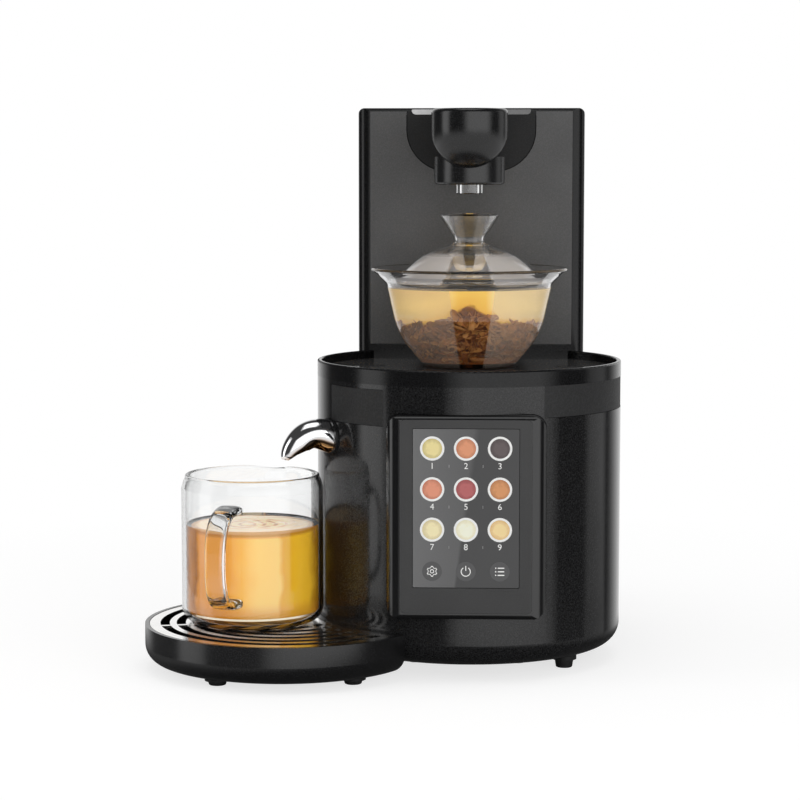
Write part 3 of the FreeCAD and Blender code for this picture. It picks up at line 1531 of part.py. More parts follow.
def make_riser_hose():
    """From the top of the heater, up the tower and along the head to the nozzle."""
    points = [V(heater_x, pump_y, heater_top()), V(heater_x, pump_y, riser_z), V(heater_x, riser_y, riser_z),
              V(heater_x, riser_y, riser_z + riser_rise), V(0, riser_y, riser_shift_z),
              V(0, riser_y, head_centre), V(0, 0, head_centre), V(0, 0, nozzle_shoulder())]
    return hose(points, nipple_radius + running)


# ---------------------------------------------------------------- all nodes
def make_nodes():
    nodes = {
        "drum_shell": make_drum_shell(),
        "top_ring": make_top_ring(),
        "deck_plate": make_deck_plate(),
        "seat_gasket": make_seat_gasket(),
        "base_plate": make_base_plate(),
        "base_screws": make_base_screws(),
        "inlay_left": make_inlay_left(),
        "inlay_right": make_inlay_right(),
        "screen_bezel": make_screen_bezel(),
        "face_plate": make_face_plate(),
        "touch_glass": make_touch_glass(),
        "lcd_module": make_lcd_module(),
        "control_board": make_control_board(),
        "power_board": make_power_board(),
        "board_screws": make_board_screws(),
        "switch_frame": make_switch_frame(),
        "switch_rocker": make_switch_rocker(),
        "power_inlet": make_power_inlet(),
        "tower_shell": make_tower_shell(),
        "tower_back": make_tower_back(),
        "back_screws": make_back_screws(),
        "tower_panel": make_tower_panel(),
        "tower_ledge": make_tower_ledge(),
        "brew_head": make_brew_head(),
        "head_flange": make_head_flange(),
        "head_trim": make_head_trim(),
        "head_collar": make_head_collar(),
        "nozzle": make_nozzle(),
        "tank_base": make_tank_base(),
        "tank_socket": make_tank_socket(),
        "water_tank": make_tank(),
        "tank_grip_left": make_grip(-1),
        "tank_grip_right": make_grip(1),
        "tank_lid": make_tank_lid(),
        "tank_hinge_pin": make_tank_hinge_pin(),
        "tank_valve": make_tank_valve(),
        "gaiwan_bowl": make_gaiwan_bowl(),
        "gaiwan_lid": make_gaiwan_lid(),
        "valve_ball": make_valve_ball(),
        "drain_funnel": make_drain_funnel(),
        "solenoid": make_solenoid(),
        "lift_magnet": make_lift_magnet(),
        "chute": make_chute(),
        "chute_collar": make_chute_collar(),
        "tray_body": make_tray_body(),
        "tray_grille": make_tray_grille(),
        "pitcher": make_pitcher(),
        "pump_housing": make_pump_housing(),
        "pump_rotor": make_pump_rotor(),
        "heater": make_heater(),
        "feed_hose": make_feed_hose(),
        "pump_hose": make_pump_hose(),
        "riser_hose": make_riser_hose(),
    }
    for name, place in foot_places().items():
        nodes[name] = foot(*place)
    return nodes


def write_nodes():
    """Move each node so that the origin is the middle of the footprint, and write it."""
    tray_x, tray_y = tray_centre()
    middle = V((tray_x - tray_radius + drum_radius) / 2,
               (tray_y - tray_radius + tank_back + inlet_flange_thickness) / 2, 0)
    os.makedirs("parts", exist_ok=True)
    for name, shape in make_nodes().items():
        shape.translate(-middle)
        shape.exportStep("parts/" + name + ".step")
        solids = len(shape.Solids)
        box = shape.BoundBox
        print("%-22s solids %d valid %s volume %.0f z %.1f..%.1f" % (name, solids, shape.isValid(),
                                                                      shape.Volume, box.ZMin, box.ZMax))
    print("origin is at X %.3f, Y %.3f from the drum's axis" % (middle.x, middle.y))


write_nodes()
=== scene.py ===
"""Looks of an automatic tea maker: materials for the CAD pieces, the tea, its leaves and the display."""
import json
import math
import random

import bpy
from mathutils import Matrix, Vector

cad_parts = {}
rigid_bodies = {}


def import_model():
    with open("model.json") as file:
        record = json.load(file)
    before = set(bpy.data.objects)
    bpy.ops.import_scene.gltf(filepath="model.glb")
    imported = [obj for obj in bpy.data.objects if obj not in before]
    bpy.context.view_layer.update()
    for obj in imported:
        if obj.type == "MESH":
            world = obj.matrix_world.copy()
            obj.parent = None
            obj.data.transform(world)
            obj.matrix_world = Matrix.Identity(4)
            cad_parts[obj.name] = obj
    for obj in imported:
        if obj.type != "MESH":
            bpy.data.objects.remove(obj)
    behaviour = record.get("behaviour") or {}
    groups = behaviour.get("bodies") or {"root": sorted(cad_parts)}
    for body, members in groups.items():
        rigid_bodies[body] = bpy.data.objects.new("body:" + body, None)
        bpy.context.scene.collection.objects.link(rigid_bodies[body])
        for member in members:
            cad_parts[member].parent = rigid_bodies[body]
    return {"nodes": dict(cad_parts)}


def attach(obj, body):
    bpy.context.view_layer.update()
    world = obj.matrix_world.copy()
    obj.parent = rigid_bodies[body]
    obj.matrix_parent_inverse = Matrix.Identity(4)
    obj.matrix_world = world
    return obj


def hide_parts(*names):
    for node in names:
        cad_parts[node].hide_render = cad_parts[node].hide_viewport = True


for leftover in list(bpy.data.objects):
    bpy.data.objects.remove(leftover)
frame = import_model()
nodes = frame["nodes"]
scene = bpy.context.scene
scene.view_settings.view_transform = "Standard"
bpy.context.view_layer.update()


# ------------------------------------------------------------------ the part's own dimensions, in millimetres
# Measured from the drum's axis, with the front towards -Y, as the part's source does.
axis_x, axis_y = 46.229, -3.677
bowl_base = 162.8
bowl_wall = 1.8
bowl_path = [(0.0, bowl_base, 0.0), (25.0, bowl_base, 7.0), (40.0, bowl_base + 18.0, 40.0),
             (46.2, bowl_base + 46.0, 5.0), (51.8, bowl_base + 51.9, 10.0), (55.0, bowl_base + 54.1, 0.0)]
bowl_floor = bowl_base + 3.6
gaiwan_tea_top = 206.4
pitcher_azimuth = math.radians(71.1)
pitcher_x = -125.0 * math.sin(pitcher_azimuth)
pitcher_y = -125.0 * math.cos(pitcher_azimuth)
pitcher_base = 25.1
pitcher_wall = 2.2
pitcher_path = [(0.0, pitcher_base, 0.0), (39.0, pitcher_base, 8.5), (39.0, pitcher_base + 74.1, 5.0),
                (36.8, pitcher_base + 81.6, 0.0)]
pitcher_rim = pitcher_base + 81.6
pitcher_floor = pitcher_base + pitcher_wall
pitcher_tea_top = 78.8
handle_azimuth = math.radians(12.0)
handle_low, handle_high = pitcher_base + 13.5, pitcher_base + 68.5
handle_root, handle_reach, handle_width, handle_thickness = 37.6, 66.0, 12.6, 4.6
flange_half_width, flange_bottom, flange_corner, flange_top = 37.3, 271.6, 24.0, 304.0
tower_front = 60.0
screen_y = -89.95


def place(x, y, z):
    """A point of the part, in metres in the row frame."""
    return Vector(((x + axis_x) / 1000, (y + axis_y) / 1000, z / 1000))


# ------------------------------------------------------------------ materials
class Graph:
    """A node tree, with short ways to add and join nodes."""

    def __init__(self, tree):
        self.tree = tree
        tree.nodes.clear()

    def set(self, socket, value):
        if isinstance(value, bpy.types.NodeSocket):
            self.tree.links.new(value, socket)
        elif isinstance(value, tuple) and len(value) == 3 and socket.type == "RGBA":
            socket.default_value = (*value, 1.0)
        else:
            socket.default_value = value

    def add(self, kind, inputs=None, **settings):
        node = self.tree.nodes.new("ShaderNode" + kind)
        for name, value in settings.items():
            setattr(node, name, value)
        for name, value in (inputs or {}).items():
            self.set(node.inputs[name], value)
        return node

    def map(self, value, low, high, to_low=0.0, to_high=1.0, smooth=False):
        inputs = {"Value": value, "From Min": low, "From Max": high, "To Min": to_low, "To Max": to_high}
        kind = "SMOOTHSTEP" if smooth else "LINEAR"
        return self.add("MapRange", inputs, interpolation_type=kind).outputs["Result"]

    def soft(self, value, low, high, to_low=0.0, to_high=1.0):
        return self.map(value, low, high, to_low, to_high, True)

    def math(self, operation, a, b=0.0):
        return self.add("Math", {0: a, 1: b}, operation=operation).outputs[0]

    def plus(self, a, b):
        return self.math("ADD", a, b)

    def minus(self, a, b):
        return self.math("SUBTRACT", a, b)

    def times(self, a, b):
        return self.math("MULTIPLY", a, b)

    def length(self, a, b):
        return self.math("SQRT", self.plus(self.times(a, a), self.times(b, b)))

    def mix(self, share, a, b):
        """A mix of two colours."""
        return self.add("Mix", {0: share, 6: a, 7: b}, data_type="RGBA").outputs[2]

    def between(self, share, a, b):
        """A mix of two numbers."""
        return self.add("Mix", {0: share, 2: a, 3: b}, data_type="FLOAT").outputs[0]

    def blend(self, share, a, b):
        """A mix of two shaders."""
        return self.add("MixShader", {"Fac": share, 1: a, 2: b}).outputs[0]


class Look(Graph):
    """A material. Its patterns are laid out in the row frame, in metres."""

    def __init__(self, name):
        self.material = bpy.data.materials.new(name)
        self.material.use_nodes = True
        super().__init__(self.material.node_tree)
        self.output = self.add("OutputMaterial")
        self.coords = self.add("TexCoord").outputs["Object"]

    def noise(self, size, detail=3.0, rough=0.55):
        """Noise with features of about that size in millimetres."""
        inputs = {"Vector": self.coords, "Scale": 1000.0 / size, "Detail": detail, "Roughness": rough}
        return self.add("TexNoise", inputs).outputs["Fac"]

    def cells(self, size):
        return self.add("TexVoronoi", {"Vector": self.coords, "Scale": 1000.0 / size}).outputs["Distance"]

    def ramp(self, value, *stops):
        node = self.add("ValToRGB", {"Fac": value})
        ramp = node.color_ramp
        while len(ramp.elements) < len(stops):
            ramp.elements.new(0.5)
        for element, (where, colour) in zip(ramp.elements, stops):
            element.position = where
            element.color = (*colour, 1.0)
        return node.outputs["Color"]

    def axis(self, name):
        return self.add("SeparateXYZ", {0: self.coords}).outputs[name]

    def right_of(self, x):
        """How far to the right of a place of the part, which is given in millimetres."""
        return self.minus(self.axis("X"), (x + axis_x) / 1000)

    def behind(self, y):
        return self.minus(self.axis("Y"), (y + axis_y) / 1000)

    def vector(self, operation, *inputs):
        return self.add("VectorMath", dict(enumerate(inputs)), operation=operation).outputs

    def facing(self):
        """0 where the surface is seen square on, and 1 where it is seen edge on."""
        return self.add("LayerWeight", {"Blend": 0.5}).outputs["Facing"]

    def bump(self, height, strength, distance_mm, normal=None):
        inputs = {"Height": height, "Strength": strength, "Distance": distance_mm / 1000.0}
        if normal is not None:
            inputs["Normal"] = normal
        return self.add("Bump", inputs).outputs["Normal"]

    def principled(self, **values):
        names = {"colour": "Base Color", "metal": "Metallic", "rough": "Roughness", "ior": "IOR",
                 "normal": "Normal", "clear": "Transmission Weight", "coat": "Coat Weight",
                 "coat_rough": "Coat Roughness", "coat_ior": "Coat IOR", "specular": "Specular IOR Level",
                 "subsurface": "Subsurface Weight", "emission": "Emission Color",
                 "emission_strength": "Emission Strength"}
        return self.add("BsdfPrincipled", {names[k]: v for k, v in values.items()}).outputs["BSDF"]

    def finish(self, shader, volume=None):
        self.set(self.output.inputs["Surface"], shader)
        if volume is not None:
            self.set(self.output.inputs["Volume"], volume)
        return self.material


def shade(colour, share):
    return tuple(c * share for c in colour)


def plastic(name, colour, rough, grain=0.7, grain_depth=0.006, speck=0.35, specular=0.5):
    """Moulded plastic: a fine grain in its colour and relief, and smears in its gloss."""
    look = Look(name)
    fine = look.noise(grain, 2.0, 0.6)
    smears = look.noise(22.0)
    tone = look.ramp(fine, (0.32, shade(colour, 1 - speck)), (0.5, colour),
                     (0.70, shade(colour, 1 + 2.2 * speck)))
    gloss = look.map(look.plus(fine, smears), 0.7, 1.3, rough * 0.85, rough * 1.2)
    return look.finish(look.principled(colour=tone, rough=gloss, normal=look.bump(fine, 0.5, grain_depth),
                                       specular=specular))


def rounded_under(name, colour, rough, low, reach, depth, front):
    """Gloss plastic whose relief curves under towards its lower edge, as a moulded nose does."""
    look = Look(name)
    fine = look.noise(0.6, 2.0, 0.6)
    tone = look.ramp(fine, (0.32, shade(colour, 0.5)), (0.5, colour), (0.70, shade(colour, 2.1)))
    gloss = look.map(fine, 0.3, 0.7, rough * 0.85, rough * 1.2)
    under = look.map(look.axis("Z"), low, low + reach, 1.0, 0.0)
    ahead = look.soft(look.axis("Y"), front, front + 0.012, 1.0, 0.0)
    curve = look.times(look.times(under, under), ahead)
    normal = look.bump(look.times(curve, -1.0), 1.0, depth * 1000.0)
    normal = look.bump(fine, 0.5, 0.005, normal)
    return look.finish(look.principled(colour=tone, rough=gloss, normal=normal))


def leather(name, colour, rough):
    """A dull strip with a pebbled grain."""
    look = Look(name)
    pebble = look.cells(1.15)
    fine = look.noise(0.6, 2.0)
    height = look.plus(pebble, look.times(fine, 0.5))
    tone = look.ramp(height, (0.25, shade(colour, 0.55)), (0.75, colour), (1.0, shade(colour, 1.7)))
    gloss = look.map(fine, 0.3, 0.7, rough * 0.85, rough * 1.15)
    return look.finish(look.principled(colour=tone, rough=gloss, normal=look.bump(height, 0.6, 0.12)))


def metal(name, colour, rough, grain=0.5, depth=0.002):
    look = Look(name)
    fine = look.noise(grain)
    tone = look.ramp(look.noise(14.0, 2.0), (0.3, shade(colour, 0.93)), (0.7, colour))
    gloss = look.map(fine, 0.3, 0.7, rough * 0.8, rough * 1.3)
    return look.finish(look.principled(colour=tone, metal=1.0, rough=gloss,
                                       normal=look.bump(fine, 0.4, depth)))


def band_metal(name):
    """The brushed band behind the head, with a painted reflection that makes it brighter at its left end."""
    look = Look(name)
    brushed = look.noise(0.5)
    # painted reflection: the band's colour is lighter towards its left end
    along = look.map(look.axis("X"), 0.012, 0.080, 0.0, 0.9)
    tone = look.ramp(look.plus(along, look.map(brushed, 0.3, 0.7, 0.0, 0.1)), (0.0, (0.50, 0.50, 0.50)),
                     (0.3, (0.42, 0.42, 0.42)), (0.7, (0.17, 0.17, 0.17)), (1.0, (0.13, 0.13, 0.13)))
    return look.finish(look.principled(colour=tone, metal=1.0, rough=look.map(brushed, 0.3, 0.7, 0.32, 0.42),
                                       normal=look.bump(brushed, 0.3, 0.004)))


def chrome_with_painted_tea_reflection(name):
    """Chrome with a painted reflection of the tea: its underside is tinted amber-brown."""
    look = Look(name)
    wide = look.noise(14.0, 2.0)
    upwards = look.add("SeparateXYZ", {0: look.add("NewGeometry").outputs["Normal"]}).outputs["Z"]
    # painted reflection: the downward-facing side takes the brown of the tea it would mirror
    painted_tea_reflection = look.soft(upwards, -0.10, -0.45)
    tone = look.mix(painted_tea_reflection, look.ramp(wide, (0.3, (0.86, 0.86, 0.87)), (0.7, (0.92, 0.92, 0.93))),
                    (0.40, 0.22, 0.09))
    return look.finish(look.principled(colour=tone, metal=1.0, rough=look.map(wide, 0.3, 0.7, 0.05, 0.08)))


def let_lamps_through(look, shader, tint):
    """The shader, but clear to lamps and to scattered light, so that what stands inside glass is lit."""
    path = look.add("LightPath").outputs
    share = look.math("MAXIMUM", path["Is Shadow Ray"], path["Is Diffuse Ray"])
    return look.blend(share, shader, look.add("BsdfTransparent", {"Color": tint}).outputs["BSDF"])


def glass(name, tint, ior=1.47, thinness=0.97, coat=None, coat_ior=1.5, painted_dark_edge=0.0, painted_sheen=None,
          painted_sheen_share=0.0, painted_sheen_tone=(0.86, 0.84, 0.84)):
    """Clear glass, with painted shade that makes it darker where it is seen edge on. It may have a coat,
    where coat(look) is 1, and a painted sheen, a pale veil of painted reflection, where its mask is 1."""
    look = Look(name)
    wide = look.noise(16.0, 2.0)
    tone = look.ramp(wide, (0.3, shade(tint, 0.985)), (0.7, tint))
    # painted shade: a dark tint where the glass is seen edge on, for its dark outlines
    if painted_dark_edge:
        tone = look.mix(look.soft(look.facing(), 0.60, 0.96, 0.0, painted_dark_edge), tone, (0.05, 0.05, 0.05))
    normal = look.bump(wide, 0.3, 0.02)
    shader = look.principled(colour=tone, clear=1.0, ior=ior, rough=0.0, normal=normal,
                             coat=coat(look) if coat else 0.0, coat_ior=coat_ior, coat_rough=0.0)
    # painted reflection: a pale veil mixed over the glass where the mask is 1
    if painted_sheen:
        painted_sheen_shader = look.principled(colour=look.ramp(wide, (0.3, shade(painted_sheen_tone, 0.92)), (0.7, painted_sheen_tone)),
                               rough=0.3, normal=normal)
        shader = look.blend(look.times(painted_sheen(look), painted_sheen_share), shader, painted_sheen_shader)
    return look.finish(let_lamps_through(look, shader, shade(tint, thinness)))


# The mask of the bowl glass's painted reflection veil.
def away_from_middle(look):
    """1 on the bowl's right and less on its left, but 0 in a column down its middle, which narrows towards
    the foot, and 0 near the lip."""
    x = look.right_of(0.0)
    rise = look.minus(look.axis("Z"), 0.167)
    left = look.plus(-0.0048, look.times(rise, -0.130))
    right = look.plus(0.0083, look.times(rise, 0.155))
    past_left = look.times(look.soft(look.minus(left, x), -0.0002, 0.0004), 0.75)
    past_right = look.soft(look.minus(x, right), -0.0002, 0.0004)
    below_lip = look.soft(look.axis("Z"), 0.2065, 0.2085, 1.0, 0.0)
    return look.times(look.math("MAXIMUM", past_left, past_right), below_lip)


def off_the_knob(look):
    """1 on the lid's dome, and 0 on its knob and bulb."""
    return look.soft(look.length(look.right_of(0.0), look.behind(0.0)), 0.014, 0.017)


# The mask of the lid glass's painted sheen.
def lid_fans(look):
    """1 in four sectors of the lid, seen from above, and 0 between them."""
    angle = look.math("ARCTAN2", look.math("ABSOLUTE", look.right_of(0.0)),
                      look.math("ABSOLUTE", look.behind(0.0)))
    inside = look.times(look.soft(angle, 0.30, 0.36), look.soft(angle, 1.22, 1.30, 1.0, 0.0))
    return look.times(inside, look.soft(look.axis("Z"), 0.2245, 0.2265, 1.0, 0.12))


gloss_black = plastic("gloss_black", (0.013, 0.013, 0.0135), 0.11, grain=0.75, speck=0.6, specular=0.34)
mirror_black = plastic("mirror_black", (0.008, 0.008, 0.0085), 0.17, grain=0.6, grain_depth=0.003, speck=0.4,
                       specular=0.24)
tray_black = plastic("tray_black", (0.010, 0.010, 0.0105), 0.20, grain=0.6, grain_depth=0.003, speck=0.4)
head_black = rounded_under("head_black", (0.009, 0.009, 0.0095), 0.20, low=0.2735, reach=0.024, depth=0.011,
                           front=0.02)
cup_black = plastic("cup_black", (0.009, 0.009, 0.0095), 0.24, grain=0.6, grain_depth=0.005, speck=0.5)
bezel_black = plastic("bezel_black", (0.008, 0.008, 0.0085), 0.15, grain=0.5, grain_depth=0.002, speck=0.3)
satin_black = plastic("satin_black", (0.018, 0.018, 0.0185), 0.38, grain=0.6, grain_depth=0.010, speck=0.3)
flange_black = plastic("flange_black", (0.014, 0.014, 0.0145), 0.42, grain=0.6, speck=0.3, specular=0.2)
# painted light: the deck's black is set far lighter than the other blacks, to make up for the shade the
# recessed deck sits in
deck_black = plastic("deck_black", (0.075, 0.075, 0.0755), 0.05, grain=0.5, grain_depth=0.001, speck=0.3)
# painted light: the panel's grey is set lighter, standing in for the grey its satin face reflects and for the
# shade on its lower part
panel_grey = plastic("panel_grey", (0.070, 0.070, 0.071), 0.42, grain=0.5, speck=0.18)
face_grey = plastic("face_grey", (0.020, 0.020, 0.0205), 0.34, grain=0.45, grain_depth=0.004, speck=0.2)
inlay_black = leather("inlay_black", (0.009, 0.009, 0.0095), 0.6)
rubber = plastic("rubber", (0.014, 0.014, 0.014), 0.62, grain=0.5, grain_depth=0.015, speck=0.3)
silicone = plastic("silicone", (0.62, 0.61, 0.58), 0.45, grain=1.2, grain_depth=0.004, speck=0.06)
white_plastic = plastic("white_plastic", (0.72, 0.72, 0.70), 0.40, grain=0.8, speck=0.05)
circuit_green = plastic("circuit_green", (0.02, 0.13, 0.05), 0.35, grain=2.2, grain_depth=0.03, speck=0.4)
chrome = metal("chrome", (0.90, 0.90, 0.91), 0.05)
steel = metal("steel", (0.88, 0.87, 0.85), 0.15, grain=0.4, depth=0.003)
trim_steel = band_metal("trim_steel")
spout_metal = chrome_with_painted_tea_reflection("spout_metal")
dull_steel = metal("dull_steel", (0.52, 0.52, 0.52), 0.34, grain=0.8, depth=0.01)
clear_glass = glass("clear_glass", (0.985, 0.99, 0.99))
# The bowl, lid and pitcher glass have painted dark edges; the bowl and lid also have a painted reflection
# veil.
bowl_glass = glass("bowl_glass", (0.985, 0.985, 0.985), painted_dark_edge=0.45, painted_sheen=away_from_middle,
                   painted_sheen_share=0.16, painted_sheen_tone=(0.88, 0.77, 0.68))
lid_glass = glass("lid_glass", (0.985, 0.985, 0.985), coat=off_the_knob, coat_ior=1.6, painted_dark_edge=0.5,
                  painted_sheen=lid_fans, painted_sheen_share=0.30)
pitcher_glass_look = glass("pitcher_glass", (0.985, 0.99, 0.99), painted_dark_edge=0.9)
smoke_tank = glass("smoke_tank", (0.30, 0.30, 0.31), ior=1.49, thinness=0.8)


def display_glass():
    """The lit display under its window: dark, with a painted reflection of glare that makes it lighter to the
    left of a slanted border.
    """
    look = Look("display_glass")
    x, z = look.right_of(0.0), look.axis("Z")
    foot, top = 0.0525, 0.137
    # painted reflection: a lighter glare left of a slanted border, fading towards the right
    border = look.plus(-0.0059, look.times(look.minus(z, foot), 0.1379))
    blur = look.map(z, foot, top, 0.0009, 0.0022)
    share = look.soft(look.minus(border, x), look.times(blur, -1.0), blur)
    left = look.map(x, -0.0283, 0.006, 1.0, 0.45)
    grain = look.noise(0.5, 2.0)
    light = look.times(look.times(share, left), look.map(grain, 0.3, 0.7, 0.95, 1.05))
    tone = look.ramp(light, (0.0, (0.018, 0.018, 0.019)), (1.0, (0.125, 0.125, 0.127)))
    return look.finish(look.principled(colour=tone, rough=look.map(grain, 0.3, 0.7, 0.07, 0.10),
                                       normal=look.bump(grain, 0.2, 0.001)))


looks = {
    "gloss_black": gloss_black, "satin_black": satin_black, "textured_black": inlay_black,
    "panel_grey": panel_grey, "deck_black": deck_black, "screen_glass": display_glass(),
    "clear_glass": clear_glass, "smoke_tank": smoke_tank, "chrome": chrome, "steel": steel,
    "dull_steel": dull_steel, "rubber": rubber, "silicone": silicone, "circuit_green": circuit_green,
    "white_plastic": white_plastic,
}
special = {
    "top_ring": mirror_black, "brew_head": head_black, "head_collar": cup_black, "screen_bezel": bezel_black,
    "face_plate": face_grey, "head_trim": trim_steel, "tray_body": tray_black, "tower_shell": mirror_black,
    "tank_lid": mirror_black, "tower_ledge": mirror_black, "head_flange": flange_black,
    "gaiwan_bowl": bowl_glass, "gaiwan_lid": lid_glass, "chute": spout_metal,
}
for name, piece in nodes.items():
    for slot in piece.material_slots:
        slot.material = special.get(name) or looks[slot.material.name.split(".")[0]]


# ------------------------------------------------------------------ shapes
def new_piece(name, vertices, faces, material, body, smooth=True):
    mesh = bpy.data.meshes.new(name)
    mesh.from_pydata(vertices, [], faces)
    mesh.update()
    mesh.polygons.foreach_set("use_smooth", [smooth] * len(mesh.polygons))
    mesh.materials.append(material)
    piece = bpy.data.objects.new(name, mesh)
    scene.collection.objects.link(piece)
    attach(piece, body)
    return piece


def direction(a, b):
    length = math.hypot(b[0] - a[0], b[1] - a[1])
    return (b[0] - a[0]) / length, (b[1] - a[1]) / length


def offset_path(path, distance):
    """The path of (radius, height, corner radius) points, moved to its left."""
    moved = []
    last = len(path) - 1
    for i, (a, b, radius) in enumerate(path):
        before = direction(path[max(i - 1, 0)], path[max(i, 1)])
        after = direction(path[min(i, last - 1)], path[min(i + 1, last)])
        share = distance / (1 + before[0] * after[0] + before[1] * after[1])
        left = before[0] * after[1] - before[1] * after[0] > 0
        moved.append((a - share * (before[1] + after[1]), b + share * (before[0] + after[0]),
                      max(radius - distance if left else radius + distance, 0.0) if radius else 0.0))
    return moved


def round_path(path, step=4.0):
    """The path's corners as arcs, one point every few degrees."""
    points = [path[0][:2]]
    for before_point, corner, after_point in zip(path, path[1:], path[2:]):
        before = direction(before_point, corner)
        after = direction(corner, after_point)
        turn = math.atan2(before[0] * after[1] - before[1] * after[0],
                          before[0] * after[0] + before[1] * after[1])
        radius = corner[2]
        if radius <= 0:
            points.append(corner[:2])
            continue
        reach = radius * math.tan(abs(turn) / 2)
        start = (corner[0] - before[0] * reach, corner[1] - before[1] * reach)
        side = math.copysign(1.0, turn)
        centre = (start[0] - side * before[1] * radius, start[1] + side * before[0] * radius)
        count = max(2, int(abs(math.degrees(turn)) / step))
        for i in range(count + 1):
            a = turn * i / count
            dx, dz = start[0] - centre[0], start[1] - centre[1]
            points.append((centre[0] + dx * math.cos(a) - dz * math.sin(a),
                           centre[1] + dx * math.sin(a) + dz * math.cos(a)))
    points.append(path[-1][:2])
    return points


def cut_path(points, top):
    """The points of a rising path below a height, ending at it."""
    kept = []
    for a, b in zip(points, points[1:]):
        kept.append(a)
        if b[1] >= top > a[1]:
            share = (top - a[1]) / (b[1] - a[1])
            kept.append((a[0] + share * (b[0] - a[0]), top))
            return kept
    return kept + [points[-1]]


smallest = 0.02        # the radius, in millimetres, of a ring that closes a turned shape at its middle


def rings_to_mesh(rings):
    """Vertices and faces of closed rings of equal length, joined in order and closed at both ends."""
    count = len(rings[0])
    vertices = [v for ring in rings for v in ring]
    faces = []
    for i in range(len(rings) - 1):
        for j in range(count):
            k = (j + 1) % count
            faces.append((i * count + j, i * count + k, (i + 1) * count + k, (i + 1) * count + j))
    faces.append(tuple(reversed(range(count))))
    faces.append(tuple((len(rings) - 1) * count + j for j in range(count)))
    return vertices, faces


def circle(x, y, z, radius, count=144, height=None):
    ring = []
    for j in range(count):
        a = 2 * math.pi * j / count
        px, py = x + radius * math.cos(a), y + radius * math.sin(a)
        ring.append(place(px, py, z + (height(px, py) if height else 0.0)))
    return ring


def inner_profile(path, wall, floor, top):
    """The inside of a turned vessel from the middle of its floor up to a height."""
    points = cut_path(round_path(offset_path(path, wall)), top)
    kept = [(0.0, floor)]
    for (r0, z0), (r1, z1) in zip(points, points[1:]):
        if z1 <= floor + 0.01:
            continue
        if z0 < floor:
            kept.append((r0 + (r1 - r0) * (floor - z0) / (z1 - z0), floor))
        kept.append((r1, z1))
    return kept


def liquid(name, material, body, x, y, inside, top, ripple):
    """Tea in a turned vessel: it climbs the wall a little and has rings on its surface."""
    rings = [circle(x, y, z, max(r, smallest)) for r, z in inside]
    edge = inside[-1][0]
    ripple_x, ripple_y, ripple_height, ripple_pitch, ripple_fade = ripple

    def height(px, py):
        r = math.hypot(px - x - ripple_x, py - y - ripple_y)
        wave = ripple_height * math.cos(2 * math.pi * r / ripple_pitch) * math.exp(-((r / ripple_fade) ** 2))
        from_wall = edge - math.hypot(px - x, py - y)
        return wave + 0.9 * math.exp(-from_wall / 0.9)

    steps = 90
    for i in range(1, steps + 1):
        share = 1 - i / steps
        ring_x, ring_y = x + ripple_x * (1 - share), y + ripple_y * (1 - share)
        rings.append(circle(ring_x, ring_y, top, max(edge * share ** 1.15, smallest), height=height))
    return new_piece(name, *rings_to_mesh(rings), material, body)


def clear_tea(name, near, density):
    """The outer, clear part of brewed tea."""
    look = Look(name)
    clear = look.principled(colour=(1.0, 1.0, 1.0), clear=1.0, ior=1.333, rough=0.0,
                            normal=look.bump(look.noise(9.0), 0.1, 0.02))
    volume = look.add("VolumeAbsorption", {"Color": near, "Density": density}).outputs[0]
    return look.finish(let_lamps_through(look, clear, (0.96, 0.90, 0.76)), volume)


def painted_glow_shader(look, tone, wisps, glow):
    """The cloudy core of the tea, with painted light: besides being lit, it glows by emission in its own
    colour.
    """
    return look.finish(look.principled(colour=tone, rough=look.map(wisps, 0.3, 0.7, 0.5, 0.6), specular=0.0,
                                       emission=tone, emission_strength=glow))


def pitcher_painted_glow():
    """Painted light and shade for the pitcher's tea: orange at the left, pale gold in the middle and deep
    gold at the right. It has painted shade at its foot and under its edge, and its top is paler, a painted
    reflection with rings on it."""
    look = Look("pitcher_painted_glow")
    x = look.right_of(pitcher_x)
    away = look.length(x, look.behind(pitcher_y))
    wisps = look.noise(14.0, 2.0)

    def level(low, high, start, end):
        """From one share to another between two heights, which are given in millimetres."""
        return look.soft(look.axis("Z"), low / 1000, high / 1000, start, end)

    # painted light and shade: the bands across the tea, dark brown at its edges through orange to pale and
    # deep gold, stand in for how light falls through it
    drift = look.plus(look.map(x, -0.034, 0.034), look.map(wisps, 0.3, 0.7, -0.02, 0.02))
    tone = look.ramp(drift, (0.0, (0.26, 0.08, 0.01)), (0.05, (0.55, 0.21, 0.02)), (0.10, (0.38, 0.13, 0.01)),
                     (0.125, (0.76, 0.30, 0.03)), (0.36, (0.86, 0.36, 0.04)), (0.46, (0.98, 0.52, 0.09)),
                     (0.60, (1.0, 0.66, 0.19)), (0.74, (1.0, 0.66, 0.20)), (0.77, (0.80, 0.42, 0.02)),
                     (0.86, (0.90, 0.52, 0.03)), (0.95, (0.94, 0.56, 0.04)), (1.0, (0.45, 0.20, 0.01)))
    # painted shade: darker towards the foot and just under the surface's edge
    tone = look.mix(level(pitcher_floor + 5.0, pitcher_floor + 14.0, 0.55, 0.0), tone, (0.55, 0.20, 0.03))
    tone = look.mix(level(pitcher_tea_top - 4.6, pitcher_tea_top - 2.4, 0.0, 0.7), tone, (0.42, 0.15, 0.02))
    # painted reflection: pale rings on the top, and painted shade near the wall
    wave = look.math("SINE", look.times(away, 2 * math.pi / 0.0058))
    rings = look.times(look.soft(wave, 0.1, 0.9), look.soft(away, 0.016, 0.022, 0.8, 0.0))
    surface = look.mix(rings, (0.94, 0.72, 0.46), (0.50, 0.29, 0.13))
    surface = look.mix(look.soft(away, 0.0295, 0.0325, 0.0, 0.75), surface, (0.55, 0.26, 0.08))
    tone = look.mix(level(pitcher_tea_top - 2.2, pitcher_tea_top - 1.2, 0.0, 1.0), tone, surface)
    return painted_glow_shader(look, tone, wisps, 0.34)


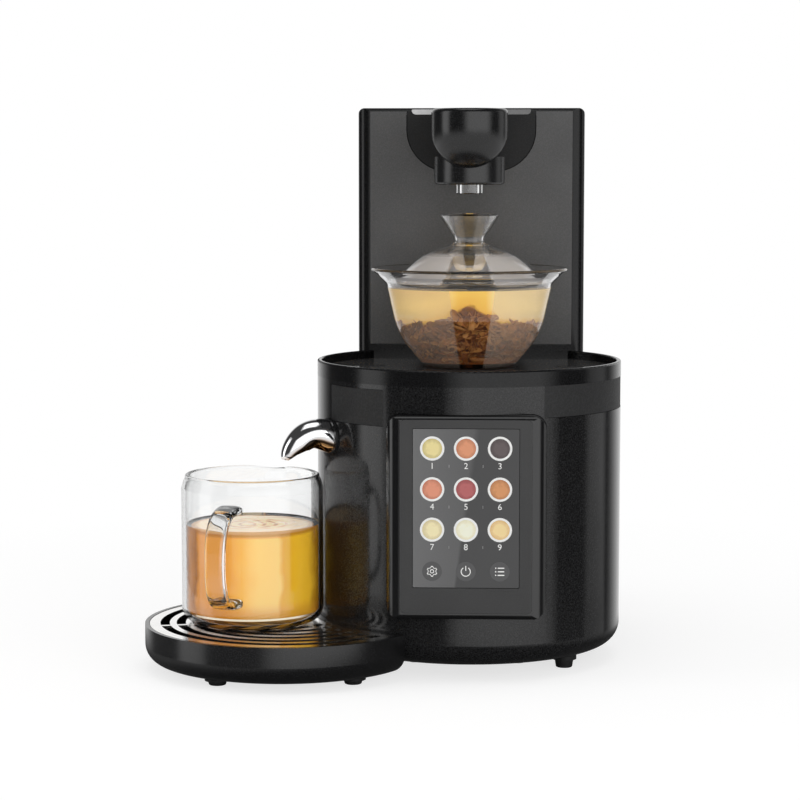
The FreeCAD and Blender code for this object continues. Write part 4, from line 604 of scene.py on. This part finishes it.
def leaf_line(x):
    """How high the tea leaves reach at a distance to the right of the bowl's middle, in millimetres."""
    return 189.8 + 8.0 * math.exp(-((x - 1.0) / 11.5) ** 2)


def gaiwan_painted_glow():
    """Painted light and shade for the bowl's tea: gold above the leaves, with painted light that makes it
    paler at its left and right, and leaf brown among them, partly the leaves' own colour and partly painted
    shade.
    """
    look = Look("gaiwan_painted_glow")
    x = look.right_of(1.0)
    wisps = look.noise(7.0)
    square = look.math("POWER", look.math("DIVIDE", x, 0.0115), 2.0)
    line = look.plus(0.1885, look.times(look.math("EXPONENT", look.times(square, -1.0)), 0.008))
    over = look.minus(look.plus(look.axis("Z"), look.map(wisps, 0.3, 0.7, -0.001, 0.001)), line)
    # painted shade: leaf brown below the leaf line, partly the leaves' own colour, and a little darker again
    # just under the surface
    tone = look.ramp(look.map(over, -0.004, 0.016), (0.0, (0.16, 0.045, 0.008)),
                     (0.16, (0.26, 0.085, 0.014)), (0.24, (0.84, 0.52, 0.09)), (0.62, (0.96, 0.62, 0.13)),
                     (0.95, (0.80, 0.48, 0.10)))
    # painted light: paler at the left and right above the leaves
    beside = look.math("MAXIMUM", look.map(x, 0.008, 0.012, 0.0, 0.6), look.map(x, -0.006, -0.010, 0.0, 0.25))
    pale = look.times(beside, look.soft(over, 0.001, 0.004))
    return painted_glow_shader(look, look.mix(pale, tone, (1.0, 0.84, 0.50)), wisps, 0.36)


pitcher_inside = inner_profile(pitcher_path, pitcher_wall + 0.5, pitcher_floor + 3.6, pitcher_tea_top + 0.9)
gaiwan_inside = inner_profile(bowl_path, bowl_wall - 0.12, bowl_floor - 0.12, gaiwan_tea_top + 0.9)
liquid("pitcher_tea", clear_tea("pitcher_tea", (0.98, 0.82, 0.40), 9.0), "tea_pitcher", pitcher_x, pitcher_y,
       pitcher_inside, pitcher_tea_top, (9.0, 3.0, 0.45, 6.5, 17.0))
liquid("gaiwan_tea", clear_tea("gaiwan_tea", (0.98, 0.88, 0.58), 10.0), "gaiwan", 0.0, 0.0,
       gaiwan_inside, gaiwan_tea_top, (0.0, 0.0, 0.10, 9.0, 20.0))


def glow_core_of(name, material, body, x, y, inside, share, top, wide_share=None, wide_from=0.0):
    """The glowing core inside the clear outer tea, which carries the tea's painted light: the vessel's
    inside, drawn in to a share of its radius, and to a wider share at its left and right above a height."""
    heights = [z + 1.0 for r, z in inside if z < top - 1.0] + [top]
    rings = []
    for i, z in enumerate(heights):
        radius = rings_radius(inside, z) if i else smallest
        rise = max(0.0, min(1.0, (z - wide_from) / 6.0)) if wide_share else 0.0
        ring = []
        for j in range(96):
            a = 2 * math.pi * j / 96
            across = max(0.0, min(1.0, (abs(math.cos(a)) - 0.45) / 0.4))
            far = radius * (share + ((wide_share or share) - share) * rise * across ** 2 * (3 - 2 * across))
            ring.append(place(x + far * math.cos(a), y + far * math.sin(a), z))
        rings.append(ring)
    rings.append(circle(x, y, top + 0.5, rings_radius(inside, top) * share - 1.5, 96))
    return new_piece(name, *rings_to_mesh(rings), material, body)


def rings_radius(inside, z):
    for (r0, z0), (r1, z1) in zip(inside, inside[1:]):
        if z0 <= z <= z1 and z1 > z0:
            return r0 + (r1 - r0) * (z - z0) / (z1 - z0)
    return inside[-1][0]


glow_core_of("pitcher_painted_glow", pitcher_painted_glow(), "tea_pitcher", pitcher_x, pitcher_y, pitcher_inside, 0.93,
         pitcher_tea_top - 1.6)
glow_core_of("gaiwan_painted_glow", gaiwan_painted_glow(), "gaiwan", 0.0, 0.0, gaiwan_inside, 0.80, gaiwan_tea_top - 1.1,
         wide_share=0.965, wide_from=186.0)


# ------------------------------------------------------------------ the pitcher's glass
def lip_push(angle, z):
    """How far the pouring lip pushes the wall outwards, and lowers the rim, at an angle from the lip."""
    wide = math.exp(-((angle / math.radians(13.0)) ** 2))
    rise = max(0.0, min(1.0, (z - (pitcher_rim - 12.0)) / 12.0)) ** 2
    return 3.6 * wide * rise, 1.7 * wide * rise ** 2


def densify(points, longest):
    """The points of a path, with more between those that are far apart."""
    dense = [points[0]]
    for a, b in zip(points, points[1:]):
        count = max(1, int(math.dist(a, b) / longest))
        for i in range(1, count + 1):
            dense.append((a[0] + (b[0] - a[0]) * i / count, a[1] + (b[1] - a[1]) * i / count))
    return dense


def pitcher_wall_rings():
    """The pitcher's wall with a rolled rim and a pouring lip, as rings from its foot round to its floor."""
    outer = round_path(pitcher_path, 6.0)
    inner = round_path(offset_path(pitcher_path, pitcher_wall), 6.0)
    bead = pitcher_wall / 2 + 0.15
    rim_r, rim_z = (outer[-1][0] + inner[-1][0]) / 2, pitcher_rim - bead
    profile = [p for p in densify(outer, 3.0) if p[1] < rim_z - 0.3]
    profile += [(rim_r + bead * math.cos(a), rim_z + bead * math.sin(a))
                for a in (math.radians(-20 + 22 * i) for i in range(11))]
    profile += [p for p in reversed(densify(inner, 3.0)) if p[1] < rim_z - 0.3]
    lip_at = math.atan2(math.cos(handle_azimuth), math.sin(handle_azimuth))
    count = 160
    rings = []
    for r, z in profile:
        ring = []
        for j in range(count):
            a = 2 * math.pi * j / count
            off_lip = (a - lip_at + math.pi) % (2 * math.pi) - math.pi
            push, sink = lip_push(off_lip, z) if r > 20 else (0.0, 0.0)
            far = max(r, smallest) + push
            ring.append(place(pitcher_x + far * math.cos(a), pitcher_y + far * math.sin(a), z - sink))
        rings.append(ring)
    return rings


def pitcher_handle_rings():
    """The pitcher's handle: a bent ribbon with round edges, a little wider and thicker at its ends."""
    out = Vector((-math.sin(handle_azimuth), -math.cos(handle_azimuth)))
    across = Vector((-out.y, out.x))
    middle_z = (handle_low + handle_high) / 2
    half_z = (handle_high - handle_low) / 2 - handle_thickness / 2
    reach = handle_reach - handle_root - handle_thickness / 2
    steps = 56
    path = []
    for i in range(steps + 1):
        t = math.pi * (0.5 - i / steps)
        c, d = max(math.cos(t), 0.0), math.sin(t)
        path.append((handle_root + reach * c ** 0.62, middle_z + half_z * math.copysign(abs(d) ** 0.80, d)))
    rings = []
    for i, (r, z) in enumerate(path):
        along = direction(path[max(i - 1, 0)], path[min(i + 1, steps)])
        end = abs(i / steps - 0.5) * 2
        past = max(0.0, end - 0.85)
        wide = handle_width / 2 * (1.0 - 0.12 * (1 - end)) * (1 + 0.12 * past / 0.15)
        thick = handle_thickness / 2 * (1 + 0.25 * past / 0.15)
        ring = []
        for j in range(24):
            a = 2 * math.pi * j / 24
            u = wide * math.copysign(abs(math.cos(a)) ** 0.6, math.cos(a))
            v = thick * math.copysign(abs(math.sin(a)) ** 0.75, math.sin(a))
            far = r - along[1] * v
            ring.append(place(pitcher_x + out.x * far + across.x * u, pitcher_y + out.y * far + across.y * u,
                              z + along[0] * v))
        rings.append(ring)
    return rings


def pitcher_glass():
    """The pitcher's wall and its handle, as one closed mesh."""
    body = new_piece("pitcher_glass", *rings_to_mesh(pitcher_wall_rings()), pitcher_glass_look, "tea_pitcher")
    handle = new_piece("pitcher_handle", *rings_to_mesh(pitcher_handle_rings()), pitcher_glass_look,
                       "tea_pitcher")
    union = body.modifiers.new("handle", "BOOLEAN")
    union.operation = "UNION"
    union.solver = "EXACT"
    union.object = handle
    bpy.context.view_layer.update()
    mesh = bpy.data.meshes.new_from_object(body.evaluated_get(bpy.context.evaluated_depsgraph_get()))
    mesh.polygons.foreach_set("use_smooth", [True] * len(mesh.polygons))
    mesh.set_sharp_from_angle(angle=math.radians(40.0))
    body.modifiers.clear()
    body.data = mesh
    bpy.data.objects.remove(handle)
    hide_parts("pitcher")


pitcher_glass()


# ------------------------------------------------------------------ painted shade in the gap round the head's flange
def flange_gap_shade():
    """A thin black band in the gap round the flange: painted shade, a dark piece standing in for the shadow
    in the gap.
    """
    half, bottom, corner = flange_half_width + 0.2, flange_bottom - 0.2, flange_corner + 0.2
    outline = [(half, flange_top)]
    for side in (1, -1):
        arc = [math.radians(-90.0 * i / 30) for i in range(31)]
        if side < 0:
            arc.reverse()
        for a in arc:
            outline.append((side * (half - corner + corner * math.cos(a)),
                            bottom + corner + corner * math.sin(a)))
    outline.append((-half, flange_top))
    rings = []
    for i, (x, z) in enumerate(outline):
        along = direction(outline[max(i - 1, 0)], outline[min(i + 1, len(outline) - 1)])
        ring = []
        for j in range(8):
            b = 2 * math.pi * j / 8
            across, depth = 0.38 * math.cos(b), 0.30 + 0.42 * math.sin(b)
            ring.append(place(x - along[1] * across, tower_front + depth, z + along[0] * across))
        rings.append(ring)
    gap_shade_black = plastic("gap_shade_black", (0.004, 0.004, 0.004), 0.7, specular=0.1)
    new_piece("flange_gap_shade", *rings_to_mesh(rings), gap_shade_black, "machine")


flange_gap_shade()


# ------------------------------------------------------------------ tea leaves
def leaf_look(name, dark, mid, light):
    look = Look(name)
    each = look.add("NewGeometry").outputs["Random Per Island"]
    veins = look.noise(1.6, 4.0)
    tone = look.ramp(look.plus(look.times(each, 0.62), look.times(veins, 0.45)), (0.12, dark), (0.5, mid),
                     (0.92, light))
    return look.finish(look.principled(colour=tone, rough=look.map(veins, 0.3, 0.7, 0.35, 0.6),
                                       subsurface=0.1, normal=look.bump(veins, 0.5, 0.25)))


def leaf(dice, length, width, curl, bend):
    """One wet, curled leaf round the origin: a pointed blade, rolled across and bent along."""
    along, across = 11, 6
    twist = dice.uniform(-1.3, 1.3)
    waviness = dice.uniform(0.4, 1.1)
    phase = dice.uniform(0, 6.28)
    points = []
    for i in range(along + 1):
        u = 2 * i / along - 1
        half = width / 2 * max(1 - abs(u) ** 2.8, 0.03) ** 0.55
        for j in range(across + 1):
            v = 2 * j / across - 1
            roll = v * curl
            radius = half / max(curl, 0.2)
            y = radius * math.sin(roll)
            z = radius * (1 - math.cos(roll)) + waviness * 0.7 * math.sin(5.5 * u + phase) * abs(v)
            x = u * length / 2
            turn = twist * u
            y, z = y * math.cos(turn) - z * math.sin(turn), y * math.sin(turn) + z * math.cos(turn)
            angle = bend * u
            arc = length / 2 / max(abs(bend), 0.05)
            x, z = (arc - z) * math.sin(angle), z + (arc - z) * (1 - math.cos(angle))
            points.append(Vector((x, y, z)))
    faces = []
    for i in range(along):
        for j in range(across):
            a = i * (across + 1) + j
            faces.append((a, a + 1, a + across + 2, a + across + 1))
    return points, faces


def leaf_pile():
    """The heap of opened leaves behind the bowl's wall, highest at its middle."""
    dice = random.Random(11)
    leaf_count = 420
    lowest, clearance = bowl_floor + 3.0, 0.7
    heap_radius = rings_radius(gaiwan_inside, 188.0)
    vertices, faces = [], []

    def lay(a, deep, z, length, width):
        """One leaf at an angle round the bowl, some way in from the wall, turned to face outwards."""
        points, quads = leaf(dice, length, width, dice.uniform(0.8, 2.0), dice.uniform(-1.4, 1.4))
        radial = Vector((math.cos(a), math.sin(a), 0.0))
        tangent = Vector((-math.sin(a), math.cos(a), 0.0))
        spin = Matrix((tangent, Vector((0, 0, 1)), radial)).transposed()
        for spread, turned_about in ((0.55, "Z"), (0.35, "X"), (0.35, "Y")):
            spin = spin @ Matrix.Rotation(dice.gauss(0, spread), 3, turned_about)
        r = rings_radius(gaiwan_inside, z) - deep
        start = len(vertices)
        for p in points:
            q = spin @ p + radial * r
            height = max(z + q.z, bowl_floor + 0.6)
            limit = rings_radius(gaiwan_inside, min(height, 203.0)) - clearance
            squeeze = min(1.0, limit / max(math.hypot(q.x, q.y), 0.001))
            vertices.append(place(q.x * squeeze, q.y * squeeze, height))
        faces.extend(tuple(start + k for k in quad) for quad in quads)

    for i in range(leaf_count):
        a = dice.uniform(0, 2 * math.pi)
        share = dice.random()
        top = leaf_line(heap_radius * math.cos(a)) - 2.2
        z = lowest + (top - lowest) * share ** 0.8
        lay(a, dice.uniform(1.5, 6.0), z, dice.uniform(9.0, 16.0), dice.uniform(4.5, 7.5))
    tea_leaf = leaf_look("tea_leaf", (0.085, 0.020, 0.004), (0.36, 0.110, 0.018), (0.72, 0.32, 0.09))
    piece = new_piece("tea_leaves", vertices, faces, tea_leaf, "gaiwan")
    thick = piece.modifiers.new("thickness", "SOLIDIFY")
    thick.thickness = 0.00035


leaf_pile()


# ------------------------------------------------------------------ the display's picture
def on_screen(x, z, lift):
    return place(x, screen_y - lift, z)


def flat_piece(name, outlines, lift, thickness, material):
    """Flat shapes on the display. Each is a list of loops, two of them for a band, given in millimetres."""
    vertices, faces = [], []
    for loops in outlines:
        for depth in (lift + thickness, lift):
            for loop in loops:
                vertices.extend(on_screen(x, z, depth) for x, z in loop)
        start = len(vertices) - 2 * sum(len(loop) for loop in loops)
        n = len(loops[0])
        if len(loops) == 2:
            back = 2 * n
            for j in range(n):
                k = (j + 1) % n
                faces.append((start + j, start + k, start + n + k, start + n + j))
                faces.append((start + j, start + back + j, start + back + k, start + k))
                faces.append((start + n + j, start + n + k, start + back + n + k, start + back + n + j))
        else:
            faces.append(tuple(start + j for j in range(n)))
            for j in range(n):
                k = (j + 1) % n
                faces.append((start + j, start + n + j, start + n + k, start + k))
    return new_piece(name, vertices, faces, material, "machine", smooth=False)


def disc_loop(x, z, radius, count=64):
    return [(x + radius * math.cos(2 * math.pi * j / count), z + radius * math.sin(2 * math.pi * j / count))
            for j in range(count)]


def box_loop(x, z0, z1, half):
    """An upright bar with square ends, from z0 to z1."""
    return [(x - half, z0), (x + half, z0), (x + half, z1), (x - half, z1)]


def bar_loop(x0, x1, z, half):
    """A bar with round ends, from x0 to x1."""
    loop = []
    for x, start in ((x1, -math.pi / 2), (x0, math.pi / 2)):
        for j in range(7):
            a = start + math.pi * j / 6
            loop.append((x + half * math.cos(a), z + half * math.sin(a)))
    return loop


def gear_loop(x, z, radius, lobe, count=120):
    """A wheel with six soft teeth."""
    loop = []
    for j in range(count):
        a = 2 * math.pi * j / count
        r = radius + lobe * math.tanh(3.0 * math.cos(6 * a + math.pi))
        loop.append((x + r * math.cos(a), z + r * math.sin(a)))
    return loop


def arc_loop(x, z, outer, inner, start, end, count=48):
    """A bent bar as one closed loop, between two angles in degrees."""
    loop = []
    for radius, first, last in ((outer, start, end), (inner, end, start)):
        for j in range(count + 1):
            a = math.radians(first + (last - first) * j / count)
            loop.append((x + radius * math.cos(a), z + radius * math.sin(a)))
    return loop


def printed(name, colour, light=0.0):
    """A lit patch of the display, with the fine dots of its screen."""
    look = Look(name)
    dots = look.cells(0.28)
    tone = look.ramp(look.plus(look.noise(3.5), look.times(dots, 0.12)), (0.35, shade(colour, 0.94)),
                     (0.65, colour))
    return look.finish(look.principled(colour=tone, rough=look.map(dots, 0.0, 1.0, 0.08, 0.14), emission=tone,
                                       emission_strength=light))


def brew(name, colour, deep, centre):
    """Tea in a cup seen from above: darker round its edge, with a soft patch of light."""
    look = Look(name)
    offset = look.vector("SUBTRACT", look.coords, centre)[0]
    from_light = look.vector("SUBTRACT", offset, Vector((0.0014, 0.0, -0.0018)))[0]
    away, unlit = look.vector("LENGTH", offset)["Value"], look.vector("LENGTH", from_light)["Value"]
    mottle = look.noise(2.4, 4.0)
    level = look.plus(look.map(away, 0.0028, 0.0054, 0.0, 0.75), look.map(mottle, 0.3, 0.7, -0.2, 0.2))
    level = look.plus(level, look.map(unlit, 0.0, 0.0038, -0.35, 0.0))
    bright = tuple(min(1.0, c * 1.18 + 0.02) for c in colour)
    tone = look.ramp(level, (0.0, bright), (0.35, colour), (1.0, deep))
    return look.finish(look.principled(colour=tone, rough=look.map(mottle, 0.3, 0.7, 0.08, 0.14),
                                       emission=tone, emission_strength=0.06))


white_print = printed("white_print", (0.92, 0.92, 0.90), 0.10)
columns = (-17.85, 0.0, 17.9)
rows = (126.75, 105.1, 83.6)
label_drop, icon_z = 9.4, 61.35
cup_radius, cup_inside, brew_radius, pad_radius = 6.43, 5.25, 5.3, 5.2
teas = [
    ((0.76, 0.64, 0.27), (0.58, 0.44, 0.15)), ((0.66, 0.25, 0.11), (0.50, 0.12, 0.05)),
    ((0.060, 0.036, 0.036), (0.030, 0.016, 0.016)),
    ((0.68, 0.24, 0.13), (0.50, 0.11, 0.05)), ((0.40, 0.070, 0.070), (0.26, 0.030, 0.034)),
    ((0.60, 0.24, 0.07), (0.43, 0.12, 0.03)),
    ((0.84, 0.73, 0.42), (0.68, 0.54, 0.26)), ((0.93, 0.89, 0.66), (0.80, 0.74, 0.48)),
    ((0.88, 0.62, 0.28), (0.78, 0.44, 0.14)),
]
cups, digits = [], []
for i, (colour, deep) in enumerate(teas):
    x, z = columns[i % 3], rows[i // 3]
    cups.append([disc_loop(x, z, cup_radius), disc_loop(x, z, cup_inside)])
    flat_piece(f"brew_{i + 1}", [[disc_loop(x, z, brew_radius)]], 0.01, 0.05,
               brew(f"brew_{i + 1}", colour, deep, on_screen(x, z, 0.06)))
flat_piece("cups", cups, 0.01, 0.09, white_print)

for i in range(9):
    text = bpy.data.curves.new(f"digit_{i + 1}", "FONT")
    text.body = str(i + 1)
    text.size = 0.0046
    text.align_x = "CENTER"
    text.align_y = "CENTER"
    text.extrude = 0.00003
    letter = bpy.data.objects.new(f"digit_{i + 1}", text)
    letter.rotation_euler = (math.pi / 2, 0, 0)
    letter.location = on_screen(columns[i % 3], rows[i // 3] - label_drop, 0.05)
    scene.collection.objects.link(letter)
    digits.append(letter)
bpy.context.view_layer.update()
for letter in digits:
    shape = bpy.data.meshes.new_from_object(letter)
    shape.transform(letter.matrix_world)
    name = letter.name
    bpy.data.objects.remove(letter)
    shape.materials.clear()
    shape.materials.append(white_print)
    solid = bpy.data.objects.new(name, shape)
    scene.collection.objects.link(solid)
    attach(solid, "machine")

ticks = [[box_loop(x, z - label_drop - 0.75, z - label_drop + 0.75, 0.16)]
         for z in rows for x in (-8.95, 8.95)]
flat_piece("ticks", ticks, 0.01, 0.05, printed("grey_print", (0.30, 0.30, 0.30), 0.03))
pads = [[disc_loop(x, icon_z, pad_radius)] for x in columns]
flat_piece("icon_pads", pads, 0.01, 0.03, printed("pad_print", (0.055, 0.055, 0.057)))

icons = [[gear_loop(columns[0], icon_z, 2.55, 0.32), gear_loop(columns[0], icon_z, 2.07, 0.26)],
         [disc_loop(columns[0], icon_z, 1.15, 48), disc_loop(columns[0], icon_z, 0.68, 48)],
         [arc_loop(columns[1], icon_z - 0.1, 2.65, 2.15, 122, 418)],
         [box_loop(columns[1], icon_z + 0.4, icon_z + 3.0, 0.25)]]
for dz in (1.9, 0.0, -1.9):
    icons.append([disc_loop(columns[2] - 2.1, icon_z + dz, 0.36, 20)])
    icons.append([bar_loop(columns[2] - 0.8, columns[2] + 2.2, icon_z + dz, 0.30)])
flat_piece("icons", icons, 0.04, 0.05, white_print)


# ------------------------------------------------------------------ camera, lights and backdrop
camera_data = bpy.data.cameras.new("camera")
camera_data.sensor_width = 36.0
camera_data.lens = 108.1
camera_data.clip_start = 0.05
camera_data.clip_end = 60.0
camera = bpy.data.objects.new("camera", camera_data)
looks_down, looks_left = 0.0985, 0.0444
camera.location = (0.06719, -1.34865, 0.27645)
camera.rotation_euler = (math.pi / 2 - looks_down, 0.0, looks_left)
scene.collection.objects.link(camera)
scene.camera = camera

middle = Vector((0.02, 0.0, 0.15))


def softbox(name, azimuth, elevation, distance, width, height, radiance):
    """A light with soft edges that faces the object: panes of falling size, one over the other.
    Azimuth 0 is in front, and grows to the right."""
    a, e = math.radians(azimuth), math.radians(elevation)
    towards = Vector((math.sin(a) * math.cos(e), -math.cos(a) * math.cos(e), math.sin(e)))
    panes = 4
    for i in range(panes):
        size = 1.0 - 0.13 * i
        light = bpy.data.lights.new(f"{name}_{i}", "AREA")
        light.shape = "RECTANGLE"
        light.size = width * size
        light.size_y = height * size
        light.energy = radiance / panes * math.pi * light.size * light.size_y
        lamp = bpy.data.objects.new(light.name, light)
        lamp.location = middle + towards * (distance - 0.002 * i)
        lamp.rotation_euler = towards.to_track_quat("Z", "Y").to_euler()
        lamp.visible_transmission = False
        scene.collection.objects.link(lamp)


softbox("key", azimuth=27.0, elevation=4.0, distance=1.9, width=3.6, height=2.1, radiance=1.75)
softbox("strip_left", azimuth=-75.0, elevation=8.0, distance=1.6, width=0.85, height=1.9, radiance=1.9)
softbox("strip_right", azimuth=110.0, elevation=8.0, distance=1.6, width=0.85, height=1.7, radiance=0.6)
softbox("top", azimuth=0.0, elevation=84.0, distance=1.7, width=1.3, height=1.3, radiance=1.5)

# The world is white to the camera. In gloss it is dim, except behind the object. Through glass it is white
# behind the object and dim to the sides, so that glass has dark edges. Its plain level lights the object.
world = bpy.data.worlds.new("world")
scene.world = world
world.use_nodes = True
sky = Graph(world.node_tree)
aim = sky.add("SeparateXYZ", {0: sky.add("TexCoord").outputs["Generated"]}).outputs
path = sky.add("LightPath").outputs
mirror = sky.between(sky.soft(aim["Y"], 0.60, 0.92), 0.05, 1.0)
through = sky.between(sky.soft(sky.math("ABSOLUTE", aim["X"]), 0.45, 0.65), 1.0, 0.12)
through = sky.between(sky.soft(aim["Z"], 0.40, 0.60), through, 0.20)
through = sky.between(sky.soft(aim["Y"], 0.0, -0.3), through, 0.30)
level = sky.between(path["Is Glossy Ray"], 0.42, mirror)
level = sky.between(path["Is Transmission Ray"], level, through)
level = sky.between(path["Is Camera Ray"], level, 1.0)
background = sky.add("Background", {"Color": (1.0, 1.0, 1.0), "Strength": level}).outputs[0]
sky.add("OutputWorld", {"Surface": background})


def floor_look():
    """White to the camera and through glass, with the object's shadow near it. In gloss it is dim beside the
    object, and further off it mirrors the lamps at a low angle."""
    look = Look("floor")

    def emission(strength):
        return look.add("Emission", {"Color": (1.0, 1.0, 1.0), "Strength": strength}).outputs[0]

    away = look.vector("DISTANCE", look.coords, (0.0, 0.0, 0.0))["Value"]
    path = look.add("LightPath").outputs
    seen = look.math("MAXIMUM", path["Is Camera Ray"], path["Is Transmission Ray"])
    lit = look.add("BsdfDiffuse", {"Color": (0.40, 0.40, 0.40)}).outputs[0]
    shadowed = look.add("AddShader", {0: lit, 1: emission(0.72)}).outputs[0]
    shown = look.blend(look.map(away, 0.22, 0.55), shadowed, emission(1.0))
    clear = look.add("BsdfTransparent", {"Color": (1.0, 1.0, 1.0)}).outputs[0]
    mirrored = look.blend(look.map(look.facing(), 0.60, 0.82), emission(0.9), clear)
    mirrored = look.blend(look.soft(away, 0.14, 0.21), emission(0.05), mirrored)
    bounce = look.blend(path["Is Glossy Ray"], lit, mirrored)
    return look.finish(look.blend(seen, bounce, shown))


floor_mesh = bpy.data.meshes.new("floor")
floor_mesh.from_pydata([(-30, -30, 0), (30, -30, 0), (30, 30, 0), (-30, 30, 0)], [], [(0, 1, 2, 3)])
floor_mesh.materials.append(floor_look())
floor = bpy.data.objects.new("floor", floor_mesh)
scene.collection.objects.link(floor)
